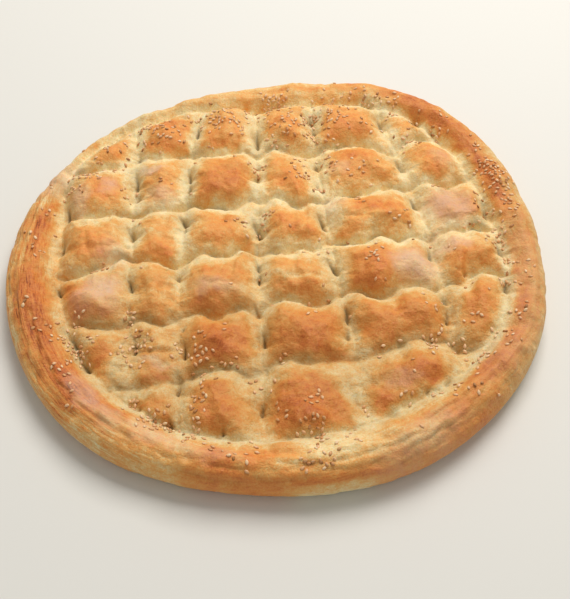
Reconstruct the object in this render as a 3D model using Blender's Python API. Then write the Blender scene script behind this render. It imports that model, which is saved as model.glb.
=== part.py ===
"""A round, dimpled Turkish flatbread scattered with sesame seeds.

The loaf is one solid: a flat base, a rolled rim, and six rows of puffed pillows between
grooves that were pressed in with the fingertips. The seeds are fused to its crust.
Units are metres. X runs to the loaf's right, Y to its back and Z up, and the origin is
in the middle of the base.
"""

import math
import random

import bpy
import numpy as np
from mathutils import Matrix, Vector
from mathutils.bvhtree import BVHTree

# The tables of the dough's form are in millimetres.
MM = 0.001

# The outline seen from above. A wave is (how many go round the loaf, its height, and the
# angle of one of its peaks in degrees, counted from +X).
LOAF_RADIUS = 0.1560
OUTLINE_WAVES = (
    (1, 3.8, 95),
    (2, 3.8, 31),
    (3, 2.7, 58),
    (4, 2.35, -36),
    (5, 0.55, -5),
    (6, 0.4, -7),
    (7, 0.4, -20),
)
# Every shape is given about the outline's own middle. It lies here, so that the middle of
# the loaf's length and of its width falls on the origin.
OUTLINE_MIDDLE = Vector((0.0029, -0.0046, 0))

# The rolled rim. Its groove is a wavy circle of its own, which sits nearer to the back.
RIM_HEIGHT = 0.0244
RIM_HEIGHT_SWING = 0.0030
RIM_HIGHEST_AT = -50
RIM_GROOVE_RADIUS = 0.1310
RIM_GROOVE_WAVES = ((1, 8.5, 90), (3, 1.8, 22), (4, 4.2, -36), (5, 2.0, -12))
RIM_LEAST_WIDTH = 0.014
# The stretch over which the grooves run out, and the pillows turn into the rim.
RIM_BLEND = 0.012
# How far along that stretch each of them stands over the middle of the rim's groove.
LINE_FADE = 0.6
FIELD_FADE = 0.5
BULGE_HEIGHT = 0.010
FOOT_INSET = 0.007
# The share of the side above its widest place.
OVER_SHARE = 0.6

# The grooves from the front to the back. Each is (its place in the middle of the loaf, how
# far it leans over in the next LINE_REACH, and how far it bows in that stretch).
LINE_REACH = 0.1
COLUMN_LINES = (
    (-87.0, -7.3, 0.8),
    (-57.5, -2.0, 4.0),
    (-12.5, -3.8, 0.0),
    (31.0, -13.1, 3.3),
    (90.0, -12.7, -6.5),
)
# The creases between the rows of pillows, the front one first, each a curve through (x, y).
# They are given where they show from the front, and their bottoms lie CREASE_SHIFT from there.
CREASE_SHIFT = (-3.1, 7.7)
ROW_CREASES = (
    (
        (-110, -94), (-88, -96), (-78, -98), (-60, -95), (-48, -93), (-38, -89), (-22, -87),
        (-12, -92), (-4, -86), (6, -80), (16, -81), (30, -78), (50, -77), (62, -73), (74, -66),
        (84, -64), (92, -66), (101, -72), (120, -70),
    ),
    (
        (-125, -48), (-110, -58), (-96, -58), (-84, -59), (-74, -54), (-63, -58), (-50, -52),
        (-40, -49), (-34, -51), (-24, -47), (-15, -46), (-9, -52), (-3, -43), (12, -40),
        (22, -42), (32, -39), (38, -34), (48, -33), (56, -38), (63, -37), (70, -31), (80, -29),
        (91, -34), (99, -27), (106, -31), (112, -22), (122, -21), (135, -26),
    ),
    (
        (-130, -20), (-118, -23), (-108, -20), (-98, -15), (-90, -9), (-80, -13), (-68, -12),
        (-58, -13), (-50, -9), (-40, -7), (-34, -9), (-27, -7), (-19, -1), (-11, -5), (-4, -3),
        (6, -4), (14, 0), (23, -4), (31, 3), (42, 3), (52, 2), (59, 7), (66, 5), (74, 4),
        (81, 8), (89, 5), (97, 9), (104, 13), (110, 11), (117, 15), (132, 12),
    ),
    (
        (-130, 26), (-116, 22), (-104, 22), (-92, 26), (-76, 28), (-64, 29), (-56, 32),
        (-38, 31), (-22, 31), (-16, 37), (-8, 35), (0, 39), (8, 35), (14, 31), (21, 37),
        (29, 35), (38, 40), (52, 42), (62, 46), (70, 49), (80, 46), (86, 48), (95, 51),
        (104, 49), (113, 55), (130, 52),
    ),
    (
        (-125, 60), (-106, 64), (-96, 66), (-90, 72), (-74, 73), (-62, 76), (-52, 80),
        (-34, 78), (-18, 79), (-11, 75), (-6, 82), (8, 80), (20, 80), (30, 83), (48, 86),
        (62, 84), (74, 77), (82, 86), (91, 92), (110, 88),
    ),
)

# A groove is a narrow crease in the rounding of the dough on both its sides: (the crease's
# depth and half width, then the rounding's).
COLUMN_GROOVE = (3.4, 2.2, 5.0, 8.6)
ROW_GROOVE = (6.0, 2.4, 5.4, 9.6)
RIM_GROOVE = (4.4, 3.2, 5.4, 9.5)
CREASE_SHARPNESS = 1.05
# How much steeper the dough stands behind a groove than in front of it.
GROOVE_SKEW = 0.36
# A groove wanders in slow and quick waves: (how far, and the size of a wave).
GROOVE_WANDER = ((1.2, 16), (0.6, 6))
GROOVE_UNEVENNESS = 0.25
WIDTH_PATCH = 18
DEPTH_PATCH = 22
# The random draws: a groove's own seed, and what each of its uses adds to it.
RIM_GROOVE_SEED = 7
FIRST_COLUMN_SEED = 100
FIRST_ROW_SEED = 200
WANDER_SEEDS = (20, 30)
WIDTH_SEED = 40
DEPTH_SEED = 60
LANE = 100
# A crease's slope is measured over this far to each side.
SLOPE_REACH = 2
# Crossing grooves merge. A large number keeps the deeper one, and 1 adds them.
GROOVE_MERGE = 4

# Where fingertips went in along the grooves, each a funnel that runs down to a slit at its
# front end: (x, y of that end, length, how far the back end is to the right, width, depth).
PRESS_SHIFT = (-3.1, 8.8)
FINGER_PRESSES = (
    (-87, 72, 8, 0, 4, 6), (-86, 48, 15, -2, 4, 9), (-84, 37, 7, -1, 6, 8),
    (-84, 6, 14, -7, 5, 10), (-86, -4, 5, 0, 4, 4), (-81, -34, 13, -5, 3, 9),
    (-81, -50, 8, 0, 3, 3), (-75, -76, 10, -1, 4, 10), (-82, -72, 5, 2, 3, 4),
    (-60, 106, 8, -2, 6, 4), (-51, 92, 13, 0, 3, 9), (-53, 52, 15, -3, 3, 8),
    (-53, 41, 8, 0, 3, 8), (-53, 14, 12, -8, 4, 9), (-53, 8, 4, 0, 3, 5),
    (-55, -27, 9, -1, 3, 9), (-62, -22, 6, 2, 3, 4), (-50, -63, 6, 1, 3, 5),
    (-48, -79, 11, -1, 3, 9), (-50, -102, 11, 0, 3, 9), (-12, 84, 20, -1, 3.5, 9),
    (-11, 63, 8, 0, 5, 6), (-12, 52, 7, 0, 6, 9), (-11, 24, 9, 0, 7, 6), (-9, 9, 15, -7, 5, 12),
    (-11, -4, 8, 0, 7, 7), (-9.5, -19, 9, -2, 2.5, 9), (-9, -28, 9, 0, 2.5, 9),
    (-9, -51, 9, -6, 5, 7), (-5, -71, 10, -2, 3, 8), (-4, -89, 6, -1, 4, 4),
    (-6, -114, 9, 0, 3, 9), (22, 103, 8, 0, 4, 9), (25, 94, 8, -3, 4, 8),
    (25.5, 64, 9, -1, 4, 9), (26, 46, 7, 0, 3, 5), (29, 14, 14, -5, 3, 10), (31, 4, 6, 0, 5, 4),
    (35, -20, 12, -7, 3, 10), (38, -34, 14, -1, 7, 5), (40, -55, 15, -1, 3, 9),
    (40, -67, 7, 0, 4, 6), (43, -108, 24, -8, 8, 4), (68.5, 101, 14, -2, 4, 10),
    (74, 78, 9, -4, 6, 5), (79, 62, 13, -6, 4, 7), (85, 32, 12, -4, 4, 9), (89, 7, 7, 0, 4, 4),
    (90, -10, 13, 0, 3, 9), (92, -34, 6, 0, 5, 5), (95, -43, 9, 0, 4, 8),
    (95, -56, 10, 1, 3, 8), (100, -73, 8, -4, 5, 5), (92, 103, 7, -3, 4, 7),
    (120, 55, 8, -5, 4, 4), (126, 22, 15, 0, 4, 9), (131, -8, 10, -2, 4, 9),
    (129.5, -37, 11, 1, 3, 10), (108, -24, 4, 3, 3, 5), (-122, 24, 15, -4, 4, 9),
    (-122, -3, 11, 0, 4, 9), (-119, -34, 9, -5, 3, 9), (-104, -71, 16, -12, 3, 6),
    (-97, -85, 8, -7, 2.5, 10), (-84, -97, 7, -4, 4, 4), (-68, -109, 5, -3, 4, 4),
    (-51, -117, 6, -4, 3, 6), (-25, -124, 4, -2, 3, 7), (8, -128, 6, -2, 7, 3),
    (60, -114, 7, 6, 6, 4), (78, -101, 7, 6, 3, 8), (88, -98, 8, 5, 3, 7),
    (-108, 91, 7, 3, 4, 5), (-92, 93, 8, -6, 5, 4), (62, 119, 8, -3, 6, 5),
    (-128, 45, 9, -2, 5, 4),
)
FUNNEL_SHARE = 0.45
FUNNEL_LENGTH_SHARE = 0.9
SLIT_HALF_WIDTH = 2.2
SLIT_LENGTH_SHARE = 0.42
SLIT_SHARPNESS = 1.6
PRESS_FRONT_STEEPNESS = 2.6
# A funnel's half width at its front end, how much it gains to the back, and how many of its
# lengths it goes on gaining, as shares.
PRESS_MOUTH = (0.5, 0.6, 1.2)
# Only points this near to a press, across and along, are worked out.
PRESS_REACH = (25, 40)
# A press merges with the groove that it lies in, and adds this share of the shallower one.
PRESS_MERGE = 3
PRESS_ADDED = 0.45

# The pillows, and how many millimetres each stands above or below the others, with the
# back row first and each row from left to right.
PILLOW_TOP = 0.0250
PILLOW_ROUNDING = 0.009
PILLOW_RISES = (
    (-1.0, 0.0, 0.3, 0.0, 1.0, -1.5),
    (0.2, 0.0, 1.2, 0.0, 1.0, 1.5),
    (0.0, -0.6, 0.6, 0.2, 1.6, 0.2),
    (0.3, -1.0, 1.2, 0.6, 0.8, 0.0),
    (-2.2, -1.2, 1.8, 1.7, 1.6, 0.6),
    (-2.5, -2.0, 0.8, 2.2, 1.2, 0.0),
)
# Unevenness of the dough: (size of the lumps, their height).
LUMPS = ((20, 1.3), (9, 0.9))
LUMP_SEED = 3

# The mesh: a square grid bent to a disc, then thinned where the crust is smooth.
GRID_CELLS = 220
SHOULDER_SHARE = 0.78
BODY_TRIANGLES = 6300
# Points below this height are on the base.
BASE_SLACK = 0.0004
NOISE_CELLS = 96

# Sesame seeds: hulled, drop-shaped, lying flat and sunk into the crust.
SEED_LENGTH = 0.0034
SEED_WIDTH = 0.0021
SEED_THICKNESS = 0.0013
SEED_SINK = 0.0002
SEED_GAP = 0.0042
SEED_SIZES = (0.92, 1.12)
# Its cross-sections: (place along it, girth), as shares of its length and width.
SEED_RINGS = ((-0.20, 1.0), (0.20, 0.80))
SEED_SIDES = 6
# Seeds roll off crust that is steeper than this.
SEED_LEAST_UP = 0.45
SEED_RANDOM = 5
SEED_TRIES = 60
LOOSE_SEEDS = 34
LOOSE_REACH = 0.145
# Where more of them fell: (x, y, how far they spread, how many).
SPRINKLES = (
    (0.132, 0.051, 0.013, 11),
    (0.120, 0.086, 0.012, 6),
    (0.066, 0.131, 0.016, 5),
    (0.039, 0.106, 0.016, 9),
    (0.001, 0.108, 0.012, 5),
    (-0.039, 0.112, 0.011, 7),
    (-0.074, 0.103, 0.010, 6),
    (-0.106, 0.080, 0.012, 4),
    (-0.100, -0.010, 0.008, 4),
    (-0.082, -0.045, 0.012, 6),
    (-0.118, -0.066, 0.020, 9),
    (-0.036, -0.073, 0.014, 9),
    (-0.060, -0.108, 0.010, 6),
    (-0.040, -0.103, 0.012, 6),
    (0.009, -0.107, 0.017, 7),
    (0.103, -0.078, 0.018, 9),
    (0.135, -0.020, 0.012, 5),
    (0.010, -0.134, 0.024, 3),
)

CRUST_COLOUR = (0.74, 0.40, 0.13, 1.0)
CRUST_ROUGHNESS = 0.5
SHARP_ANGLE = 35


def wavy_radius(radius, waves, angle):
    """The radius of a wavy circle at each angle."""
    total = np.full_like(angle, radius)
    for count, height, peak in waves:
        total += height * MM * np.cos(count * (angle - math.radians(peak)))
    return total


def smooth_step(value):
    """0 below 0, 1 above 1 and an easy curve between."""
    t = np.clip(value, 0, 1)
    return t * t * (3 - 2 * t)


def soft_noise(x, y, size, seed):
    """Smooth random bumps of one size, between -1 and 1."""
    cells = NOISE_CELLS
    lattice = np.random.default_rng(seed).uniform(-1, 1, (cells + 1, cells + 1))
    u, v = x / size + cells / 2, y / size + cells / 2
    column, row = np.floor(u).astype(int), np.floor(v).astype(int)
    right, up = ((t - np.floor(t)) ** 2 * (3 - 2 * (t - np.floor(t))) for t in (u, v))
    column, row = column % cells, row % cells
    low = lattice[column, row] * (1 - right) + lattice[column + 1, row] * right
    high = lattice[column, row + 1] * (1 - right) + lattice[column + 1, row + 1] * right
    return low * (1 - up) + high * up


def lane_noise(along, size, seed):
    """Smooth random waves along one line, between -1 and 1."""
    return soft_noise(along, np.full_like(along, LANE), size, seed)


def rim_sizes(angle):
    """The loaf's radius, its rim groove's radius and its rim's height at each angle."""
    outer = wavy_radius(LOAF_RADIUS, OUTLINE_WAVES, angle)
    groove = wavy_radius(RIM_GROOVE_RADIUS, RIM_GROOVE_WAVES, angle)
    groove = np.minimum(groove, outer - RIM_LEAST_WIDTH)
    swing = np.cos(angle - math.radians(RIM_HIGHEST_AT))
    return outer, groove, RIM_HEIGHT + RIM_HEIGHT_SWING * swing


def curve_through(points, x):
    """The height at x of a smooth curve through the points."""
    px, py = (np.array(values, dtype=float) for values in zip(*points))
    slope = np.gradient(py, px)
    k = np.clip(np.searchsorted(px, x) - 1, 0, len(px) - 2)
    step = px[k + 1] - px[k]
    t = np.clip((x - px[k]) / step, 0, 1)
    rise = 3 * t**2 - 2 * t**3
    start_bend = (t**3 - 2 * t**2 + t) * step * slope[k]
    end_bend = (t**3 - t**2) * step * slope[k + 1]
    return py[k] + rise * (py[k + 1] - py[k]) + start_bend + end_bend


def groove_depth(distance, along, facing, sizes, seed):
    """The depth in millimetres of one groove, at a distance from it and a place along it.

    Facing is 1 where the groove's far side is to the back, and -1 where it is in front.
    """
    crease_depth, crease_width, round_depth, round_width = sizes
    distance, along = distance / MM, along / MM
    for (height, size), wander_seed in zip(GROOVE_WANDER, WANDER_SEEDS):
        distance = distance + height * lane_noise(along, size, seed + wander_seed)
    width = 1 + GROOVE_UNEVENNESS * lane_noise(along, WIDTH_PATCH, seed + WIDTH_SEED)
    depth = 1 + GROOVE_UNEVENNESS * lane_noise(along, DEPTH_PATCH, seed + DEPTH_SEED)
    width = width * (1 - GROOVE_SKEW * facing * np.tanh(distance))
    distance = np.abs(distance)
    crease = np.exp(-((distance / (crease_width * width)) ** CREASE_SHARPNESS))
    rounding = np.exp(-((distance / (round_width * width)) ** 2))
    return depth * (crease_depth * crease + round_depth * rounding)


def press_depth(x, y):
    """The depth in millimetres of the fingertip presses."""
    total = np.zeros_like(x)
    for px, py, length, lean, width, depth in FINGER_PRESSES:
        dx, dy = x / MM - px - PRESS_SHIFT[0], y / MM - py - PRESS_SHIFT[1]
        near = (np.abs(dx) < PRESS_REACH[0]) & (np.abs(dy) < PRESS_REACH[1])
        dx, dy = dx[near], dy[near]
        size = math.hypot(length, lean)
        along, across = (dx * lean + dy * length) / size, (dx * length - dy * lean) / size
        along = np.where(along < 0, -along * PRESS_FRONT_STEEPNESS, along)
        gained = np.minimum(along / length, PRESS_MOUTH[2])
        mouth = width * (PRESS_MOUTH[0] + PRESS_MOUTH[1] * gained)
        funnel_along = along / (FUNNEL_LENGTH_SHARE * length)
        funnel = np.exp(-(funnel_along**2) - (across / mouth) ** 2)
        slit_along = along / (SLIT_LENGTH_SHARE * length)
        slit_across = np.abs(across / SLIT_HALF_WIDTH) ** SLIT_SHARPNESS
        slit = np.exp(-(slit_along**2) - slit_across)
        press = depth * (FUNNEL_SHARE * funnel + (1 - FUNNEL_SHARE) * slit)
        total[near] = np.maximum(total[near], press)
    return total


def line_distances(x, y):
    """How far each point lies past each groove, from left to right and front to back."""
    t = y / LINE_REACH
    columns = [x - (place + lean * t + bow * t * t) * MM for place, lean, bow in COLUMN_LINES]
    rows = []
    across = x / MM - CREASE_SHIFT[0]
    for crease in ROW_CREASES:
        ahead = curve_through(crease, across + SLOPE_REACH)
        slope = (ahead - curve_through(crease, across - SLOPE_REACH)) / (2 * SLOPE_REACH)
        line = (curve_through(crease, across) + CREASE_SHIFT[1]) * MM
        rows.append((y - line) / np.sqrt(1 + slope**2))
    return columns, rows


def cut_depth(x, y, angle, inside):
    """How far the grooves and presses lie below the dough's top."""
    line_fade = smooth_step(LINE_FADE + inside / RIM_BLEND)
    round_way = angle * RIM_GROOVE_RADIUS
    cuts = [groove_depth(inside, round_way, -np.sin(angle), RIM_GROOVE, RIM_GROOVE_SEED)]
    columns, rows = line_distances(x, y)
    for seed, distance in enumerate(columns, start=FIRST_COLUMN_SEED):
        cuts.append(line_fade * groove_depth(distance, y, 0, COLUMN_GROOVE, seed))
    for seed, distance in enumerate(rows, start=FIRST_ROW_SEED):
        cuts.append(line_fade * groove_depth(distance, x, 1, ROW_GROOVE, seed))
    grooves = sum(cut**GROOVE_MERGE for cut in cuts) ** (1 / GROOVE_MERGE)
    press = press_depth(x, y)
    merged = (grooves**PRESS_MERGE + press**PRESS_MERGE) ** (1 / PRESS_MERGE)
    return (merged + PRESS_ADDED * np.minimum(grooves, press)) * MM


def crust_height(x, y):
    """The height of the crust inside the rim's crest, at plan positions x and y."""
    angle = np.arctan2(y, x)
    _, groove, rim_top = rim_sizes(angle)
    inside = groove - np.hypot(x, y)
    columns, rows = line_distances(x, y)
    column = sum((distance > 0).astype(int) for distance in columns)
    row_from_back = sum((distance <= 0).astype(int) for distance in rows)
    rise = np.array(PILLOW_RISES)[row_from_back, column] * MM
    for distance in columns + rows:
        rise *= 1 - np.exp(-((distance / PILLOW_ROUNDING) ** 2))
    pillow_top = PILLOW_TOP + rise * smooth_step(inside / PILLOW_ROUNDING)
    into_field = smooth_step(FIELD_FADE + inside / RIM_BLEND)
    top = rim_top + (pillow_top - rim_top) * into_field
    lumps = sum(height * soft_noise(x / MM, y / MM, size, LUMP_SEED) for size, height in LUMPS)
    return top - cut_depth(x, y, angle, inside) + lumps * MM


def disc_position(u, v):
    """The share of the radius and the angle at which a square grid's point u, v lies."""
    share = max(abs(u), abs(v))
    if share == 0:
        return 0.0, 0.0
    if abs(u) >= abs(v):
        turn = math.pi / 4 * v / u
        return share, turn if u > 0 else turn + math.pi
    turn = math.pi / 2 - math.pi / 4 * u / v
    return share, turn if v > 0 else turn + math.pi


def loaf_points(cells):
    """The points of the crust, from the middle out over the rim and round under it."""
    ticks = np.linspace(-1, 1, cells + 1)
    polar = np.array([disc_position(u, v) for v in ticks for u in ticks])
    share, angle = polar.T
    outer, groove, _ = rim_sizes(angle)
    crest = (outer + groove) / 2

    radius = crest * np.minimum(share / SHOULDER_SHARE, 1)
    x, y = radius * np.cos(angle), radius * np.sin(angle)
    z = crust_height(x, y)

    # Past the crest, a quarter turn leads down to the widest place and a second one under.
    past = np.clip((share - SHOULDER_SHARE) / (1 - SHOULDER_SHARE), 0, 1)
    over = np.minimum(past / OVER_SHARE, 1) * math.pi / 2
    under = np.clip((past - OVER_SHARE) / (1 - OVER_SHARE), 0, 1) * math.pi / 2
    reach = (outer - crest) * np.sin(over) - FOOT_INSET * (1 - np.cos(under))
    radius = radius + np.where(past > 0, reach, 0)
    side = BULGE_HEIGHT + (z - BULGE_HEIGHT) * np.cos(over) - BULGE_HEIGHT * np.sin(under)
    z = np.where(past > 0, side, z)
    points = np.stack([radius * np.cos(angle), radius * np.sin(angle), z], axis=1)
    return points + np.array(OUTLINE_MIDDLE)


def grid_faces(cells):
    """The squares of the grid, and the base as one face round its edge."""
    side = cells + 1
    faces = []
    for row in range(cells):
        for column in range(cells):
            first = row * side + column
            faces.append((first, first + 1, first + side + 1, first + side))
    front = list(range(cells))
    right = [row * side + cells for row in range(cells)]
    back = [cells * side + column for column in range(cells, 0, -1)]
    left = [row * side for row in range(cells, 0, -1)]
    faces.append(tuple(reversed(front + right + back + left)))
    return faces


def crust_material():
    material = bpy.data.materials.new("baked_crust")
    material.use_nodes = True
    shader = material.node_tree.nodes["Principled BSDF"]
    shader.inputs["Base Color"].default_value = CRUST_COLOUR
    shader.inputs["Roughness"].default_value = CRUST_ROUGHNESS
    shader.inputs["Metallic"].default_value = 0.0
    return material


def apply_modifiers(obj):
    """Replaces the object's mesh with its mesh after its modifiers."""
    graph = bpy.context.evaluated_depsgraph_get()
    mesh = bpy.data.meshes.new_from_object(obj.evaluated_get(graph))
    old = obj.data
    obj.modifiers.clear()
    obj.data = mesh
    bpy.data.meshes.remove(old)


def make_loaf():
    """The bare loaf, thinned to its share of triangles, with a truly flat base."""
    mesh = bpy.data.meshes.new("loaf")
    mesh.from_pydata(loaf_points(GRID_CELLS).tolist(), [], grid_faces(GRID_CELLS))
    mesh.materials.append(crust_material())
    loaf = bpy.data.objects.new("loaf", mesh)
    bpy.context.scene.collection.objects.link(loaf)
    thin = loaf.modifiers.new("thin", "DECIMATE")
    thin.ratio = BODY_TRIANGLES / (2 * GRID_CELLS**2 + 4 * GRID_CELLS)
    thin.use_collapse_triangulate = True
    apply_modifiers(loaf)
    for vertex in loaf.data.vertices:
        if vertex.co.z < BASE_SLACK:
            vertex.co.z = 0.0
    return loaf


def seed_mesh():
    """One sesame seed: a flat drop of two rings between a blunt and a pointed end."""
    sides = SEED_SIDES
    points = [(-SEED_LENGTH / 2, 0, 0)]
    for along, girth in SEED_RINGS:
        for side in range(sides):
            turn = 2 * math.pi * side / sides
            across = math.cos(turn) * girth * SEED_WIDTH / 2
            up = math.sin(turn) * girth * SEED_THICKNESS / 2
            points.append((along * SEED_LENGTH, across, up))
    points.append((SEED_LENGTH / 2, 0, 0))
    last = len(points) - 1
    faces = []
    for side in range(sides):
        following = (side + 1) % sides
        faces.append((0, 1 + following, 1 + side))
        for ring in range(len(SEED_RINGS) - 1):
            start = 1 + ring * sides
            near, far = start + side, start + following
            faces.append((near, far, far + sides, near + sides))
        start = 1 + (len(SEED_RINGS) - 1) * sides
        faces.append((last, start + side, start + following))
    mesh = bpy.data.meshes.new("seed")
    mesh.from_pydata(points, [], faces)
    return mesh


def seed_places(rng):
    """Plan positions for the seeds: first the sprinkles, then a loose scatter."""
    wanted = []
    for x, y, spread, count in SPRINKLES:
        wanted += [(x, y, spread)] * count
    wanted += [None] * LOOSE_SEEDS
    places = []
    for patch in wanted:
        for _ in range(SEED_TRIES):
            turn = rng.uniform(0, 2 * math.pi)
            if patch is None:
                reach = LOOSE_REACH * math.sqrt(rng.random())
                x, y = reach * math.cos(turn), reach * math.sin(turn)
            else:
                reach = patch[2] * math.sqrt(rng.random())
                x, y = patch[0] + reach * math.cos(turn), patch[1] + reach * math.sin(turn)
            if all(math.hypot(x - px, y - py) > SEED_GAP for px, py in places):
                places.append((x, y))
                break
    return places


def scatter_seeds(loaf):
    """Lays the seeds on the crust, as objects in a collection of their own."""
    rng = random.Random(SEED_RANDOM)
    seeds = bpy.data.collections.new("seeds")
    bpy.context.scene.collection.children.link(seeds)
    mesh = seed_mesh()
    graph = bpy.context.evaluated_depsgraph_get()
    tree = BVHTree.FromObject(loaf, graph)
    for x, y in seed_places(rng):
        above = Vector((x, y, 4 * RIM_HEIGHT)) + OUTLINE_MIDDLE
        hit, normal, _, _ = tree.ray_cast(above, Vector((0, 0, -1)))
        if hit is None or normal.z < SEED_LEAST_UP:
            continue
        seed = bpy.data.objects.new("seed", mesh)
        lie = Vector((0, 0, 1)).rotation_difference(normal).to_matrix().to_4x4()
        turn = Matrix.Rotation(rng.uniform(0, 2 * math.pi), 4, "Z")
        size = Matrix.Scale(rng.uniform(*SEED_SIZES), 4)
        seed.matrix_world = Matrix.Translation(hit - normal * SEED_SINK) @ lie @ turn @ size
        seeds.objects.link(seed)
    return seeds


def fuse(loaf, seeds):
    """Joins the seeds to the loaf in one Boolean union, then removes their objects."""
    join = loaf.modifiers.new("join", "BOOLEAN")
    join.operation = "UNION"
    join.operand_type = "COLLECTION"
    join.collection = seeds
    join.solver = "EXACT"
    apply_modifiers(loaf)
    for seed in list(seeds.objects):
        bpy.data.objects.remove(seed)
    bpy.data.collections.remove(seeds)


def build():
    for obj in list(bpy.data.objects):
        bpy.data.objects.remove(obj)
    loaf = make_loaf()
    fuse(loaf, scatter_seeds(loaf))
    loaf.data.shade_smooth()
    loaf.data.set_sharp_from_angle(angle=math.radians(SHARP_ANGLE))


build()
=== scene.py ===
import math

import bpy
import numpy as np
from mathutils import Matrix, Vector


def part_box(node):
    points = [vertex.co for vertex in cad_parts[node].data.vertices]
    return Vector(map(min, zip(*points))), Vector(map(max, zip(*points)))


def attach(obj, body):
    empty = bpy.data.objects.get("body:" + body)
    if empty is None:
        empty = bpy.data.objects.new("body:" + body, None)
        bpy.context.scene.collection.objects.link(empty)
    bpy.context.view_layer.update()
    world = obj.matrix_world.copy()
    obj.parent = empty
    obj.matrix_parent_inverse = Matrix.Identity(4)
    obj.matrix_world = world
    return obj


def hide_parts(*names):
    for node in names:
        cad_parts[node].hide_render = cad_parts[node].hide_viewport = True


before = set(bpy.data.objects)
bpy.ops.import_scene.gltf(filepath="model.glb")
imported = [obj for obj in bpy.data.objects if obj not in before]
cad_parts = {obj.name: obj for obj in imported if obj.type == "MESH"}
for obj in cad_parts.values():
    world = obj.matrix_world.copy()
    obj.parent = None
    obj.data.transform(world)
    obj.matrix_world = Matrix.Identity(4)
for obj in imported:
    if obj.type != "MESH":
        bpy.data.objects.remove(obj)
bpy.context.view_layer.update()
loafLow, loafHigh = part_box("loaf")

# A round, dimpled Turkish flatbread, baked golden and scattered with sesame. The loaf's
# form follows the solid's own rules, and the finer relief, browning and seeds are added.

mm = 0.001


def linear(hexColour):
    # sRGB hex to the linear colour that the shaders take
    parts = [int(hexColour[i:i + 2], 16) / 255 for i in (1, 3, 5)]
    return tuple(c / 12.92 if c <= 0.04045 else ((c + 0.055) / 1.055) ** 2.4 for c in parts) + (1,)


def addNode(tree, kind, inputs=None, **settings):
    # one node with its settings; an input is a value or another node's output
    node = tree.nodes.new(kind)
    for name, value in settings.items():
        setattr(node, name, value)
    for name, value in (inputs or {}).items():
        if isinstance(value, bpy.types.NodeSocket):
            tree.links.new(value, node.inputs[name])
        else:
            node.inputs[name].default_value = value
    return node


def newMaterial(name):
    material = bpy.data.materials.new(name)
    material.use_nodes = True
    return material, material.node_tree, material.node_tree.nodes["Principled BSDF"]


def addMesh(name, points, faces, material=None):
    mesh = bpy.data.meshes.new(name)
    mesh.from_pydata(points, [], faces)
    if material:
        mesh.materials.append(material)
    piece = bpy.data.objects.new(name, mesh)
    bpy.context.scene.collection.objects.link(piece)
    return piece


def setColours(ramp, colours):
    # colours are (position, sRGB hex) from the first to the last
    stops = ramp.color_ramp.elements
    for position, colour in colours[1:-1]:
        stops.new(position)
    for stop, (position, colour) in zip(stops, colours):
        stop.position = position
        stop.color = linear(colour)


loaf = {
    "radius": 156.0 * mm,
    # how many go round, height in mm, and the angle of one peak
    "outlineWaves": (
        (1, 3.8, 95), (2, 3.8, 31), (3, 2.7, 58), (4, 2.35, -36), (5, 0.55, -5), (6, 0.4, -7),
        (7, 0.4, -20),
    ),
    "middle": (2.9 * mm, -4.6 * mm),  # the outline's own middle
    "rimHeight": 23.3 * mm,
    "rimHeightSwing": 3.0 * mm,
    "rimHighestAt": -50,
    "rimGrooveRadius": 131.0 * mm,
    "rimGrooveWaves": ((1, 8.5, 90), (3, 1.8, 22), (4, 4.2, -36), (5, 2.0, -12)),  # mm
    # it swings out here, in degrees, half width in degrees and mm
    "rimGrooveBulges": ((143, 21, 10.0), (188, 30, 3.4)),
    "rimNarrowing": 0.35,  # at the first of them, the rim narrows by this share
    "rimLeastWidth": 14 * mm,
    "fieldFade": 12 * mm,  # the pillows and grooves run out over this width beside the rim
    "rimBlend": 9 * mm,  # and the rim's own skin starts over this one
    "bulgeHeight": 10 * mm,
    "footInset": 7 * mm,
    "shoulderShare": 0.78,  # the share of the mesh that lies inside the rim's crest
    "overShare": 0.6,
    "sideArc": 0.35,  # how much longer the way over the side is than its width
    "footBlend": 4 * mm,  # the fine relief runs out above the base
    "cells": 430,
    "triangles": 196000,  # after thinning the smooth places
    "inset": 0.25 * mm,  # keeps the finer skin inside the solid's outline
}

# what changes towards the front, in mm: from where on, and over how long a way
frontChanges = {"turn": (-50, 35), "opening": (-30, 60), "grooves": (10, 70), "baking": (30, 130)}
tableOrigin = (-3.1, 1.7)  # the places of creases, folds and patches below start here, in mm

# place in the middle of the loaf, lean and bow in the next 100 mm
lineReach = 100 * mm
columnLines = (
    (-87.0, -7.3, 0.8), (-57.5, -2.0, 4.0), (-12.5, -3.8, 0.0), (31.0, -13.1, 3.3), (90.0, -12.7, -6.5),
)
columnTurn = (0.0, 0.0, 0.0, -5.0, 0.0)  # how far each of them turns aside in front, in mm
columnOpening = (0.4, 0.35, 0.4, 0.8, 0.4)  # how much wider and softer each gets towards the front
columnFading = 0.9  # how much of its crease such a line loses

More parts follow.
